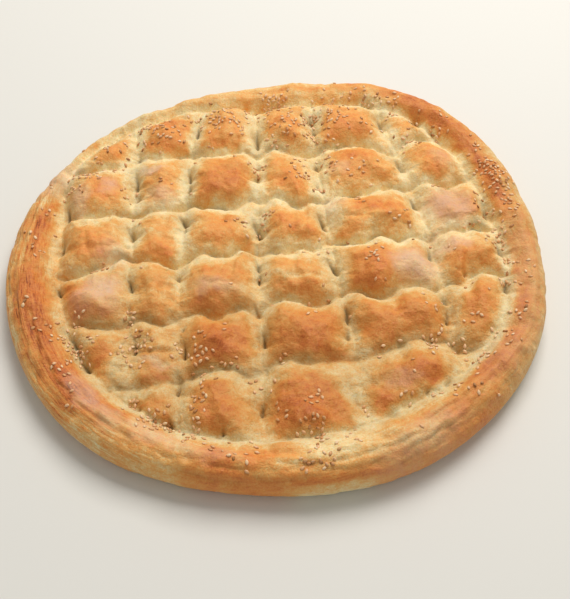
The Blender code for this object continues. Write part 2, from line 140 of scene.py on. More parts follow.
# the creases between the rows of pillows, from the front to the back: (x, y) in mm
rowCreases = (
    (
        (-110, -94), (-88, -96), (-78, -98), (-60, -95), (-48, -93), (-38, -89), (-22, -87), (-12, -92),
        (-4, -86), (6, -81), (16, -83), (30, -81), (50, -79), (62, -75), (74, -69), (79, -68),
        (85, -71), (92, -68), (101, -73), (120, -71),
    ),
    (
        (-125, -48), (-110, -58), (-96, -58), (-84, -59), (-74, -54), (-63, -58), (-50, -52),
        (-40, -49), (-34, -51), (-24, -47), (-15, -46), (-9, -52), (-3, -43), (12, -40), (22, -42),
        (32, -39), (38, -34), (48, -33), (56, -38), (63, -37), (70, -31), (80, -29), (91, -34),
        (99, -27), (106, -31), (112, -22), (122, -21), (135, -26),
    ),
    (
        (-130, -20), (-118, -23), (-108, -20), (-98, -15), (-90, -9), (-80, -13), (-68, -12),
        (-58, -13), (-50, -9), (-40, -7), (-34, -9), (-27, -7), (-19, -1), (-11, -5), (-4, -3), (6, -4),
        (14, 0), (23, -4), (31, 3), (42, 3), (52, 2), (59, 7), (66, 5), (74, 4), (81, 8), (89, 5),
        (97, 9), (104, 13), (110, 11), (117, 15), (132, 12),
    ),
    (
        (-130, 26), (-116, 22), (-104, 22), (-92, 26), (-76, 28), (-64, 29), (-56, 32), (-38, 31),
        (-22, 31), (-16, 37), (-8, 35), (0, 39), (8, 35), (14, 31), (21, 37), (29, 35), (38, 40),
        (52, 42), (62, 46), (70, 49), (80, 46), (86, 48), (95, 51), (104, 49), (113, 55), (130, 52),
    ),
    (
        (-125, 60), (-106, 64), (-96, 66), (-90, 72), (-74, 73), (-62, 76), (-52, 80), (-34, 78),
        (-18, 79), (-11, 75), (-6, 82), (8, 80), (20, 80), (30, 83), (48, 86), (62, 84), (74, 77),
        (82, 86), (91, 92), (110, 88),
    ),
)
creaseSetback = 6.0  # how far, in mm, a crease lies behind where it shows from the front
rowSharpness = (0.6, 0.8, 1.0, 1.0, 1.0)  # the creases in front are softer
rowForm = {
    "slopeStep": 2,  # mm to each side that a crease's slope is taken over
    "smoothing": 2.4,  # mm to each side that a sharp crease is smoothed over
    "softerMore": 0.7,  # the power by which a softer one is smoothed more
}

# in mm: a narrow crease, and the rounding of the dough beside it
columnGroove = {"creaseDepth": 2.2, "creaseWidth": 2.4, "roundDepth": 6.4, "roundWidth": 11.6}
rowGroove = {"creaseDepth": 5.2, "creaseWidth": 2.5, "roundDepth": 6.0, "roundWidth": 11.4}
rimGroove = {
    "creaseDepth": 4.4, "creaseWidth": 3.0, "roundDepth": 6.0, "roundWidth": 8.4,
    "shallowerRight": 0.25, "widerLeft": 0.18, "randomSeed": 7,
}
grooveForm = {
    "creaseSharpness": 1.05,
    "wanders": ((1.2, 16, 20), (0.6, 6, 30), (0.45, 2.8, 35)),  # how far, size of a wave, random seed
    "wanderShare": 0.5,  # of the second one, that the rounding follows
    "unevenness": 0.25,
    "patchiness": 0.45,  # how much the narrow crease comes and goes
    # size of a wave in mm, and random seed
    "widthWaves": (18, 40),
    "depthWaves": (22, 60),
    "patchWaves": (15, 70),
    "waveLane": 100,
    "skew": 0.30,  # how much steeper the dough stands behind a groove than in front of it
    # how much wider the rounding is with no crease in it, how much a full one takes off that, and
    # the power by which the wider one is deeper
    "softening": (1.3, 0.3, 1.5),
    "columnSeed": 100,
    "rowSeed": 200,
    "fadeStart": 0.6,  # where in the fade beside the rim the grooves begin
    "blend": 3,  # the power that rounds the dough where grooves meet
    "pressOver": 0.45,  # how much deeper a press gets in a groove
}

# where fingertips went in, by their front ends: (x, y, length, how far the back end is to the
# right, width, depth), all in mm
fingerPresses = (
    (-87, 72, 8, 0, 4, 6), (-86, 48, 15, -2, 4, 9), (-84, 37, 7, -1, 6, 8), (-84, 6, 14, -7, 5, 10),
    (-86, -4, 5, 0, 4, 4), (-81, -34, 13, -5, 3, 9), (-81, -50, 8, 0, 3, 3), (-75, -76, 10, -1, 4, 10),
    (-82, -72, 5, 2, 3, 4), (-60, 106, 8, -2, 6, 4), (-51, 92, 13, 0, 3, 9), (-53, 52, 15, -3, 3, 8),
    (-53, 41, 8, 0, 3, 8), (-53, 14, 12, -8, 4, 9), (-53, 8, 4, 0, 3, 5), (-55, -27, 9, -1, 3, 9),
    (-62, -22, 6, 2, 3, 4), (-50, -63, 6, 1, 3, 5), (-48, -79, 11, -1, 3, 9), (-50, -102, 11, 0, 3, 9),
    (-12, 84, 20, -1, 3.5, 9), (-11, 63, 8, 0, 5, 6), (-12, 52, 7, 0, 6, 9), (-11, 24, 9, 0, 7, 6),
    (-9, 9, 15, -7, 5, 12), (-11, -4, 8, 0, 7, 7), (-9.5, -19, 9, -2, 2.5, 9), (-9, -28, 9, 0, 2.5, 9),
    (-9, -51, 9, -6, 5, 7), (-5, -71, 10, -2, 3, 8), (-4, -89, 6, -1, 4, 4), (-6, -114, 9, 0, 3, 9),
    (22, 103, 8, 0, 4, 9), (25, 94, 8, -3, 4, 8), (25.5, 64, 9, -1, 4, 9), (26, 46, 7, 0, 3, 5),
    (29, 14, 14, -5, 3, 10), (31, 4, 6, 0, 5, 4), (35, -20, 12, -7, 3, 10), (38, -34, 14, -1, 7, 5),
    (40, -55, 15, -1, 3, 9), (40, -67, 7, 0, 4, 6), (43, -108, 24, -8, 8, 4),
    (68.5, 101, 14, -2, 4, 10), (74, 78, 9, -4, 6, 5), (79, 62, 13, -6, 4, 7), (85, 32, 12, -4, 4, 9),
    (89, 7, 7, 0, 4, 4), (90, -10, 13, 0, 3, 9), (92, -34, 6, 0, 5, 5), (95, -43, 9, 0, 4, 8),
    (95, -56, 10, 1, 3, 8), (100, -73, 8, -4, 5, 5), (92, 103, 7, -3, 4, 7), (120, 55, 8, -5, 4, 4),
    (126, 22, 15, 0, 4, 9), (131, -8, 10, -2, 4, 9), (129.5, -37, 11, 1, 3, 10), (108, -24, 4, 3, 3, 5),
    (-125, 24, 15, -4, 4, 9), (-125, -3, 11, 0, 4, 9), (-122, -35, 9, -5, 3, 9),
    (-107, -72, 16, -12, 3, 7), (-99, -86, 8, -7, 2.5, 10), (-86, -100, 6, -4, 4, 4),
    (-69, -112, 5, -3, 4, 5), (-52, -121, 6, -4, 3, 6), (-25, -128, 3, -1, 3, 6),
    (8, -131, 6, -2, 7, 4), (60, -118, 7, 6, 6, 4), (79, -104, 5, 4, 3, 5), (90, -99, 8, 5, 4, 4),
    (-107, 89, 6, 2, 3, 2), (-92, 93, 8, -6, 5, 3), (62, 119, 8, -3, 6, 5), (-131, 46, 9, -2, 5, 4),
)
pressShift = (-3.1, 8.8)  # from where the presses show, seen from the front, to where they are
pressForm = {
    "reach": (25, 40),  # mm to the side and along, past which a press is nothing
    "wander": 0.5,  # mm that the slit wanders to the side
    "wanderWave": 4,
    "wanderLane": 55,
    "wanderSeed": 91,
    "frontSteepness": 3.4,
    "funnelShare": 0.54,  # of the depth; the slit at the front end has the rest
    "funnelLength": 1.15,  # of the press's length
    # the funnel's half width for the press's: at its front end, how much more one length behind
    # it, and how many lengths on it is widest
    "mouth": (0.9, 1.4, 1.3),
    "slitLength": 0.62,  # of the length
    "slitWidth": 0.27,  # of the width
    "slitSharpness": 1.6,
    "rimFade": (13 * mm, 8 * mm),  # presses end this far out on the rim, over this width
    # painted shade in the slit: from this depth and up to this width in mm in full, the power that
    # spreads the slit's darkness, and the funnel's share of it
    "darkDepth": 8,
    "darkWidth": 3.8,
    "darkSpread": 0.7,
    "darkFunnel": 0.3,
}

# folds in the pillows' skin: (x, y) to (x, y), depth and half width, all in mm
skinFolds = (
    (-46, -27, -16, -29, 0.8, 2.2), (-46, -38, -28, -36, 0.5, 1.6), (2, -21, 31, -20, 0.9, 2.4),
    (40, 25, 60, 22, 1.2, 2.6), (60, 22, 80, 19, 0.8, 2.4), (57, 19, 59, 8, 1.3, 2.6),
    (-73, -71, -50, -68, 1.2, 1.8), (-76, -80, -54, -77, 0.9, 1.8), (-76, -20, -70, -46, 0.8, 2.0),
    (-66, -22, -60, -50, 0.8, 2.2), (-22, -100, -6, -107, 0.9, 1.8), (-46, 4, -20, 8, 0.6, 2.0),
    (3, 6, 15, 0, 0.9, 1.8), (32, 74, 52, 73, 0.5, 1.6), (48, 62, 62, 56, 0.6, 1.8),
    (-80, 47, -66, 40, 0.8, 2.0), (-76, 62, -60, 56, 0.6, 2.0), (-44, 92, -26, 86, 0.5, 1.8),
    (62, -44, 84, -52, 0.4, 1.6), (68, -96, 90, -86, 0.6, 2.0), (100, 4, 118, -4, 0.5, 1.8),
    (-106, 50, -98, 32, 0.6, 1.8), (-112, 14, -106, -12, 0.5, 1.2), (-104, 12, -98, -10, 0.5, 1.2),
    (96, 72, 104, 58, 0.5, 1.6), (52, -88, 66, -90, 0.7, 2.0),
)

foldForm = {
    # how far in mm, size of a wave, random seed: to the side, and towards the back
    "sideWander": (1.0, 6, 93),
    "backWander": (1.4, 6, 94),
    "deepening": 1.5,  # times the depth above
    "ends": 0.3,  # the share of its length over which a fold runs out
    "sharpness": 1.1,
}

pillows = {
    "top": 23.9 * mm,
    "rounding": 9 * mm,
    "fadeStart": 0.5,  # where in the fade beside the rim they begin
    # millimetres above or below the others, back row first
    "rises": (
        (1.4, 0.4, 0.3, 0.0, 1.0, -1.5),
        (0.2, 0.0, 1.2, 0.0, 1.0, 1.5),
        (0.0, -0.6, 0.6, 0.2, 1.4, 0.2),
        (0.3, -1.0, 1.2, 0.6, 0.8, 0.0),
        (-3.2, -1.6, 1.8, 1.7, 1.6, 0.6),
        (-3.4, -2.6, 0.8, 1.6, 1.0, 0.0),
    ),
    # height, size, random seed
    "lumps": ((1.4 * mm, 20.0 * mm, 3), (1.3 * mm, 9.0 * mm, 3)),
    "fineLumps": ((0.70 * mm, 5.0 * mm, 13), (0.30 * mm, 2.5 * mm, 13)),
    # low ridges where the skin dried and drew in
    "wrinkles": ((0.6 * mm, 8.0 * mm, 81), (0.26 * mm, 3.8 * mm, 86)),
    "wrinkleMean": 0.35,  # of a ridge, taken off so that the skin stays where it is
    "wrinkleStretch": 1.5,  # how much longer they are across the loaf
    "rimCalm": 0.6,  # how much lower they are on the rim
}

# painted shade beside the creases between rows: how far behind the crease, half width and how wide
# it runs out at the rim, in mm, then how dark it is and how much darker in front
creaseShade = {"line": (0.8, 1.1, 6, 0.35, 0.20), "band": (2.5, 3.5, 10, 0.0, 0.40)}
creaseShadePatches = {"middle": 0.35, "swing": 1.4, "size": 9, "randomSeed": 280}  # where the line shows


def smoothStep(value):
    t = np.clip(value, 0, 1)
    return t * t * (3 - 2 * t)


def towardsFront(y, change):
    # rises from 0 to 1 over the way that frontChanges gives
    start, length = frontChanges[change]
    return smoothStep((start * mm - y) / (length * mm))


def softNoise(x, y, size, seed):
    # smooth random bumps of one size, between -1 and 1
    cells = 96
    lattice = np.random.default_rng(seed).uniform(-1, 1, (cells + 1, cells + 1))
    u, v = x / size + cells / 2, y / size + cells / 2
    column, row = np.floor(u).astype(int), np.floor(v).astype(int)
    right, up = ((t - np.floor(t)) ** 2 * (3 - 2 * (t - np.floor(t))) for t in (u, v))
    column, row = column % cells, row % cells
    low = lattice[column, row] * (1 - right) + lattice[column + 1, row] * right
    high = lattice[column, row + 1] * (1 - right) + lattice[column + 1, row + 1] * right
    return low * (1 - up) + high * up


def addNoise(total, x, y, parts):
    # total and one noise for each (height, size, seed)
    for height, size, seed in parts:
        total = total + height * softNoise(x, y, size, seed)
    return total


def ridgedNoise(x, y, size, seed):
    # thin crooked ridges, 1 along them and falling to 0 between
    warp, warpSize, sharpness = 0.6 * size, 1.7 * size, 4
    x = x + warp * softNoise(x, y, warpSize, seed + 1)
    y = y + warp * softNoise(x, y, warpSize, seed + 2)
    return (1 - np.abs(softNoise(x, y, size, seed))) ** sharpness


def wavyRadius(radius, waves, angle):
    total = np.full_like(angle, radius)
    for count, height, peak in waves:
        total += height * mm * np.cos(count * (angle - math.radians(peak)))
    return total


def rimSizes(angle):
    outer = wavyRadius(loaf["radius"], loaf["outlineWaves"], angle)
    groove = wavyRadius(loaf["rimGrooveRadius"], loaf["rimGrooveWaves"], angle)
    swings = []
    for middle, half, bulge in loaf["rimGrooveBulges"]:
        away = (np.degrees(angle) - middle + 180) % 360 - 180
        swings.append(np.exp(-((away / half) ** 2)))
        groove = groove + bulge * mm * swings[-1]
    least = loaf["rimLeastWidth"] * (1 - loaf["rimNarrowing"] * swings[0])
    groove = np.minimum(groove, outer - least)
    swing = np.cos(angle - math.radians(loaf["rimHighestAt"]))
    return outer, groove, loaf["rimHeight"] + loaf["rimHeightSwing"] * swing


def curveThrough(points, x):
    # a smooth curve through the points, by straight slopes at each of them
    px, py = (np.array(values, dtype=float) for values in zip(*points))
    slope = np.gradient(py, px)
    k = np.clip(np.searchsorted(px, x) - 1, 0, len(px) - 2)
    step = px[k + 1] - px[k]
    t = np.clip((x - px[k]) / step, 0, 1)
    t2, t3 = t * t, t**3
    return ((2 * t3 - 3 * t2 + 1) * py[k] + (3 * t2 - 2 * t3) * py[k + 1]
            + (t3 - 2 * t2 + t) * step * slope[k] + (t3 - t2) * step * slope[k + 1])


def grooveDepth(distance, along, facing, groove, seed, sharpness=1.0):
    # facing is 1 where the groove's far side is towards the back, and -1 where it is in front
    distance, along = distance / mm, along / mm
    form = grooveForm
    lane = np.full_like(along, form["waveLane"])

    def waver(size, number):
        return softNoise(along, lane, size, seed + number)

    wandered = [height * waver(size, number) for height, size, number in form["wanders"]]
    creaseDistance = np.abs(distance + sum(wandered))
    distance = distance + wandered[0] + form["wanderShare"] * wandered[1]
    width = 1 + form["unevenness"] * waver(*form["widthWaves"])
    depth = 1 + form["unevenness"] * waver(*form["depthWaves"])
    width = width * (1 - form["skew"] * facing * sharpness * np.tanh(distance))
    distance = np.abs(distance)
    crease = np.exp(-((creaseDistance / (groove["creaseWidth"] * width)) ** form["creaseSharpness"]))
    patchy = 1 + form["patchiness"] * waver(*form["patchWaves"])
    softest, firmer, deeper = form["softening"]
    softer = softest - firmer * sharpness
    rounding = softer**deeper * np.exp(-((distance / (groove["roundWidth"] * width * softer)) ** 2))
    below = groove["creaseDepth"] * sharpness * patchy * crease + groove["roundDepth"] * rounding
    return depth * below * mm


def pressDepth(x, y):
    # the fingertip presses: a funnel that runs down to a slit at its front end, and the painted shade
    # inside them
    form = pressForm
    mouthStart, mouthGrowth, mouthEnd = form["mouth"]
    total, paintedShade = np.zeros_like(x), np.zeros_like(x)
    for px, py, length, lean, width, depth in fingerPresses:
        dx, dy = x / mm - px - pressShift[0], y / mm - py - pressShift[1]
        near = (np.abs(dx) < form["reach"][0]) & (np.abs(dy) < form["reach"][1])
        dx, dy = dx[near], dy[near]
        size = math.hypot(length, lean)
        along = (dx * lean + dy * length) / size
        lane = np.full_like(along, form["wanderLane"])
        wave = softNoise(along, lane, form["wanderWave"], form["wanderSeed"])
        across = (dx * length - dy * lean) / size + form["wander"] * wave
        along = np.where(along < 0, -along * form["frontSteepness"], along)
        mouth = width * (mouthStart + mouthGrowth * np.minimum(along / length, mouthEnd))
        funnel = np.exp(-((along / (form["funnelLength"] * length)) ** 2) - (across / mouth) ** 2)
        slitAlong = along / (form["slitLength"] * length)
        slitAcross = np.abs(across / (form["slitWidth"] * width))
        slit = np.exp(-(slitAlong**2) - slitAcross ** form["slitSharpness"])
        share = form["funnelShare"]
        total[near] = np.maximum(total[near], depth * (share * funnel + (1 - share) * slit))
        # painted shade, darkest in a deep, narrow slit
        dark = min(depth / form["darkDepth"], 1) * min(form["darkWidth"] / width, 1)
        inner = np.maximum(slit ** form["darkSpread"], form["darkFunnel"] * funnel)
        paintedShade[near] = np.maximum(paintedShade[near], dark * inner)
    return total * mm, paintedShade


def foldDepth(x, y):
    total = np.zeros_like(x)
    form = foldForm
    x, y = x / mm - tableOrigin[0], y / mm - tableOrigin[1]
    x = addNoise(x, x, y, [form["sideWander"]])
    y = addNoise(y, x, y, [form["backWander"]])
    for x0, y0, x1, y1, depth, halfWidth in skinFolds:
        size = math.hypot(x1 - x0, y1 - y0)
        ux, uy = (x1 - x0) / size, (y1 - y0) / size
        along = (x - x0) * ux + (y - y0) * uy
        across = (y - y0) * ux - (x - x0) * uy
        end = form["ends"] * size
        ends = smoothStep(along / end) * smoothStep((size - along) / end)
        shape = np.exp(-np.abs(across / halfWidth) ** form["sharpness"])
        total = np.maximum(total, form["deepening"] * depth * ends * shape)
    return total * mm


def lineDistances(x, y):
    t = y / lineReach
    turn = towardsFront(y, "turn")
    columns = [x - (middle + lean * t + bow * t * t + aside * turn) * mm
               for (middle, lean, bow), aside in zip(columnLines, columnTurn)]
    rows = []
    across = x / mm - tableOrigin[0]
    step = rowForm["slopeStep"]
    for crease, sharpness in zip(rowCreases, rowSharpness):
        slope = (curveThrough(crease, across + step) - curveThrough(crease, across - step)) / (2 * step)
        reach = rowForm["smoothing"] / sharpness ** rowForm["softerMore"]
        # half the crease here, and a quarter from each side
        smoothed = 0.5 * curveThrough(crease, across)
        smoothed += 0.25 * (curveThrough(crease, across - reach) + curveThrough(crease, across + reach))
        line = (smoothed + creaseSetback + tableOrigin[1]) * mm
        rows.append((y - line) / np.sqrt(1 + slope**2))
    return columns, rows


def cutDepth(x, y):
    # how far the grooves lie below the dough's top, at plan positions x and y
    form = grooveForm
    angle = np.arctan2(y, x)
    inside = rimSizes(angle)[1] - np.hypot(x, y)
    wide = 1 + rimGroove["widerLeft"] * smoothStep(-np.cos(angle))
    way = angle * loaf["rimGrooveRadius"]
    cuts = [grooveDepth(inside / wide, way, -np.sin(angle), rimGroove, rimGroove["randomSeed"])]
    cuts[0] *= 1 - rimGroove["shallowerRight"] * smoothStep(np.cos(angle))
    columns, rows = lineDistances(x, y)
    fade = smoothStep(form["fadeStart"] + inside / loaf["fieldFade"])
    front = towardsFront(y, "opening")
    for seed, (distance, opening) in enumerate(zip(columns, columnOpening), start=form["columnSeed"]):
        wide = 1 + opening * front
        sharpness = 1 - columnFading * opening * front
        cuts.append(fade * grooveDepth(distance / wide, y, 0, columnGroove, seed, sharpness))
    for seed, (distance, sharpness) in enumerate(zip(rows, rowSharpness), start=form["rowSeed"]):
        cuts.append(fade * grooveDepth(distance, x, 1, rowGroove, seed, sharpness))
    power = form["blend"]
    grooves = sum(cut**power for cut in cuts) ** (1 / power)
    out, over = pressForm["rimFade"]
    press = pressDepth(x, y)[0] * smoothStep((inside + out) / over)
    return (grooves**power + press**power) ** (1 / power) + form["pressOver"] * np.minimum(grooves, press)


def hollowShadeLevels(x, y):
    # painted shade in the narrow insides of the presses and along the bottoms of the creases between rows
    _, paintedShade = pressDepth(x, y)
    _, rows = lineDistances(x, y)
    inside = rimSizes(np.arctan2(y, x))[1] - np.hypot(x, y)
    front = towardsFront(y, "grooves")
    for seed, distance in enumerate(rows, start=creaseShadePatches["randomSeed"]):
        noise = softNoise(x / mm, y / mm, creaseShadePatches["size"], seed)
        patch = smoothStep(creaseShadePatches["middle"] + creaseShadePatches["swing"] * noise)
        for kind, share in (("line", patch), ("band", 1)):
            behind, halfWidth, fade, level, more = creaseShade[kind]
            shape = np.exp(-((distance / mm - behind) / halfWidth) ** 2) * smoothStep(inside / (fade * mm))
            paintedShade = np.maximum(paintedShade, (level + more * front) * share * shape)
    return paintedShade


def crustHeight(x, y):
    angle = np.arctan2(y, x)
    _, groove, rimTop = rimSizes(angle)
    inside = groove - np.hypot(x, y)
    columns, rows = lineDistances(x, y)
    column = sum((distance > 0).astype(int) for distance in columns)
    rowFromBack = sum((distance <= 0).astype(int) for distance in rows)
    rise = np.array(pillows["rises"])[rowFromBack, column] * mm
    for distance in columns + rows:
        rise *= 1 - np.exp(-((distance / pillows["rounding"]) ** 2))
    pillowTop = pillows["top"] + rise * smoothStep(inside / pillows["rounding"])
    intoField = smoothStep(pillows["fadeStart"] + inside / loaf["fieldFade"])
    top = rimTop + (pillowTop - rimTop) * intoField
    return top - cutDepth(x, y) - foldDepth(x, y) + addNoise(0, x, y, pillows["lumps"])


def discPositions(cells):
    # a square grid bent to a disc: each point's share of the radius and its angle
    ticks = np.linspace(-1, 1, cells + 1)
    v, u = (t.ravel() for t in np.meshgrid(ticks, ticks, indexing="ij"))
    share = np.maximum(np.abs(u), np.abs(v))
    safe = np.where(share == 0, 1, share)
    wide = np.abs(u) >= np.abs(v)
    slope = np.where(wide, v * np.sign(u) / safe, -u * np.sign(v) / safe)
    start = np.where(wide, np.where(u > 0, 0, math.pi), np.where(v > 0, 1, -1) * math.pi / 2)
    angle = start + math.pi / 4 * slope
    return share, np.where(share == 0, 0, np.arctan2(np.sin(angle), np.cos(angle)))


def discFaces(cells):
    side = cells + 1
    corners = [row * side + column for row in range(cells) for column in range(cells)]
    faces = [(corner, corner + 1, corner + side + 1, corner + side) for corner in corners]
    edge = list(range(cells)) + [row * side + cells for row in range(cells)]
    edge += [cells * side + column for column in range(cells, 0, -1)]
    edge += [row * side for row in range(cells, 0, -1)]
    return faces + [tuple(reversed(edge))]


# the rim's skin, then browning, painted highlights and painted shade, noted by their places from above
rimDetail = {
    "streakLength": 20 * mm,
    "streakWidth": 1.7 * mm,
    "streakHeight": 0.38 * mm,
    "streakSeed": 61,
    "rollHeight": 1.3 * mm,  # broader ridges along it, from rolling the edge over
    "rollScale": (1.4, 1.4, 3.2),  # how much broader: twice along it, and across
    "rollSeed": 65,
    "sideCalm": 0.5,  # how much lower all this is on the side
    # the left was stretched most: middle, half width and run-out in degrees
    "stretched": (198, 52, 24),
    "streakLevels": (0.35, 0.60, 0.45),  # all round, more there, and more on its outer side
    "outerSide": (143 * mm, 7 * mm),  # from this far out, over this width
    "creaseWander": (1.2 * mm, 9 * mm, 51),  # how far, size of a wave, random seed
    "creaseEnds": 0.25,  # the share of its length over which a crease runs out
    "creaseDeepening": 1.05,  # times the depths below
    # the lip inside a crease: its height for the crease's depth, its place and its half width for
    # the crease's half width
    "lip": (0.5, 2.0, 1.3),
    # folds where the rim was rolled: from (degrees, mm from the middle) to (degrees, mm),
    # then depth and half width in mm
    "creases": (
        (242, 146.0, 258, 140.0, 0.7, 1.5), (268, 138.3, 286, 140.2, 0.9, 1.3),
        (284, 139.6, 301, 141.9, 1.3, 1.3), (302, 145.0, 306, 143.0, 1.2, 1.0),
        (222, 148.5, 229, 146.0, 0.7, 1.0), (229, 145.0, 241, 143.0, 0.9, 1.4),
        (228, 136.0, 238, 138.5, 0.7, 1.5), (196, 143.0, 212, 147.0, 0.7, 1.0),
        (186, 149.0, 204, 152.5, 1.2, 0.9), (165, 143.0, 185, 144.5, 0.7, 1.0),
        (172, 157.0, 193, 158.0, 1.6, 1.0), (158, 154.0, 178, 151.0, 1.5, 0.9),
        (203, 143.5, 218, 145.0, 0.8, 0.9), (213, 147.5, 227, 144.5, 0.8, 0.9),
        (158, 151.0, 172, 140.0, 0.9, 1.3), (176, 138.0, 192, 139.5, 0.6, 0.9),
        (199, 151.0, 210, 152.5, 0.6, 0.8), (248, 150.5, 266, 148.0, 0.7, 1.4),
        (252, 133.5, 262, 134.5, 0.5, 1.0), (308, 146.0, 318, 142.0, 0.6, 1.3),
        (290, 150.0, 306, 152.0, 0.7, 1.4), (318, 149.0, 334, 151.0, 0.6, 1.6),
        (292, 147.0, 312, 145.0, 1.0, 1.2), (300, 136.5, 316, 137.5, 0.8, 1.2),
        (262, 146.0, 280, 147.5, 0.6, 1.3), (276, 143.5, 292, 146.5, 0.8, 1.2),
        (254, 143.0, 268, 141.0, 0.8, 1.1), (12, 147.0, 30, 149.5, 0.5, 1.8),
        (340, 147.0, 356, 148.0, 0.5, 1.6), (34, 140.0, 46, 142.5, 0.6, 1.4),
    ),
}

# (x, y, half length, half width in mm, turn in degrees, how much browner)
brownPatches = (
    # back row of pillows, from left to right
    (-101, 82, 11, 12, 60, 0.50), (-113, 72, 5, 6, 0, 0.40), (-71, 96, 11, 19, 0, 0.38),
    (-74, 106, 5, 5, 0, 0.2), (-36, 96, 12, 14, -10, 0.28), (-53, 113, 5, 4, 0, 0.25),
    (4, 99, 11, 16, 0, 0.28), (8, 90, 6, 5, 0, 0.2), (44, 103, 16, 15, 0, 0.30),
    (58, 93, 6, 6, 0, 0.15), (82, 99, 9, 8, 20, 0.25),
    # second
    (-107, 48, 7, 16, 18, 0.30), (-76, 57, 12, 7, 0, 0.22), (-33, 52, 16, 17, 0, 0.50),
    (-38, 44, 8, 7, 0, 0.2), (6, 62, 9, 10, 0, 0.22), (10, 49, 9, 7, 0, 0.28),
    (52, 76, 14, 6, -8, 0.38), (48, 62, 15, 6, 0, 0.18), (95, 78, 12, 12, -40, 0.25),
    (96, 62, 9, 8, 0, 0.30), (104, 36, 12, 11, 0, 0.28),
    # third
    (-106, 2, 9, 13, 15, 0.28), (-72, 18, 9, 4, 0, 0.12), (-68, 0, 11, 8, 0, 0.32),
    (-31, 22, 9, 7, 0, 0.25), (-30, 4, 14, 8, 0, 0.35), (10, 17, 14, 9, -15, 0.35),
    (62, 31, 15, 6, -18, 0.42), (46, 15, 9, 9, 0, 0.28), (71, 15, 6, 7, 0, 0.2),
    (117, 26, 4, 14, -10, 0.14),
    # fourth
    (-113, -38, 8, 13, 0, 0.40), (-101, -49, 11, 6, 0, 0.30), (-72, -26, 10, 5, 0, 0.12),
    (-70, -46, 8, 7, 0, 0.22), (-32, -20, 15, 5, 0, 0.25), (14, -21, 15, 2, -3, -0.26),
    (-37, -40, 13, 7, 0, 0.30), (-45, -42, 5, 4, 0, 0.25), (12, -12, 16, 5, 0, 0.15),
    (15, -28, 15, 7, 0, 0.32), (57, -12, 11, 14, -55, 0.42), (50, -24, 8, 6, 0, 0.2),
    (113, -8, 13, 9, 0, 0.28),
    # fifth
    (-93, -74, 9, 8, 0, 0.14), (-60, -84, 14, 6, 0, 0.22), (-30, -66, 15, 13, -20, 0.42),
    (-33, -73, 8, 5, 0, 0.22), (20, -60, 19, 14, -5, 0.38), (21, -68, 10, 6, 0, 0.25),
    (3, -80, 10, 5, 0, 0.2), (66, -50, 18, 12, 0, 0.36), (54, -61, 10, 6, 0, 0.2),
    (110, -42, 9, 15, -12, 0.34), (-93, -73, 6, 6, 0, 0.20), (-89, -89, 6, 5, 0, 0.15),
    (-52, -86, 10, 4, 0, 0.20), (-82, -84, 4, 13, 8, -0.34), (-84, -67, 6, 4, 0, -0.20),
    (-101, -66, 3, 5, 0, -0.20), (-67, -92, 8, 4, 0, -0.22), (-62, -63, 9, 3, 0, -0.15),
    (-58, -76, 10, 2, 0, -0.15), (22, -79, 22, 4, 0, -0.20), (85, -66, 8, 5, 0, -0.20),
    # front
    (-67, -103, 7, 6, 0, 0.45), (-55, -111, 7, 4, 0, 0.38), (-2, -88, 6, 6, 0, -0.34),
    (37, -88, 6, 9, 15, -0.36), (43, -104, 4, 12, 20, -0.30), (62, -80, 9, 5, 20, -0.12),
    (62, -108, 9, 5, 20, -0.16), (-16, -96, 7, 5, 0, -0.14), (-30, -106, 11, 14, 0, 0.36),
    (16, -104, 18, 15, 0, 0.38), (12, -112, 12, 7, 0, 0.18), (72, -84, 14, 11, 0, 0.25),
    (81, -87, 8, 6, 0, 0.28), (53, -100, 6, 5, 0, 0.45), (70, -103, 12, 4, 0, 0.15),
)

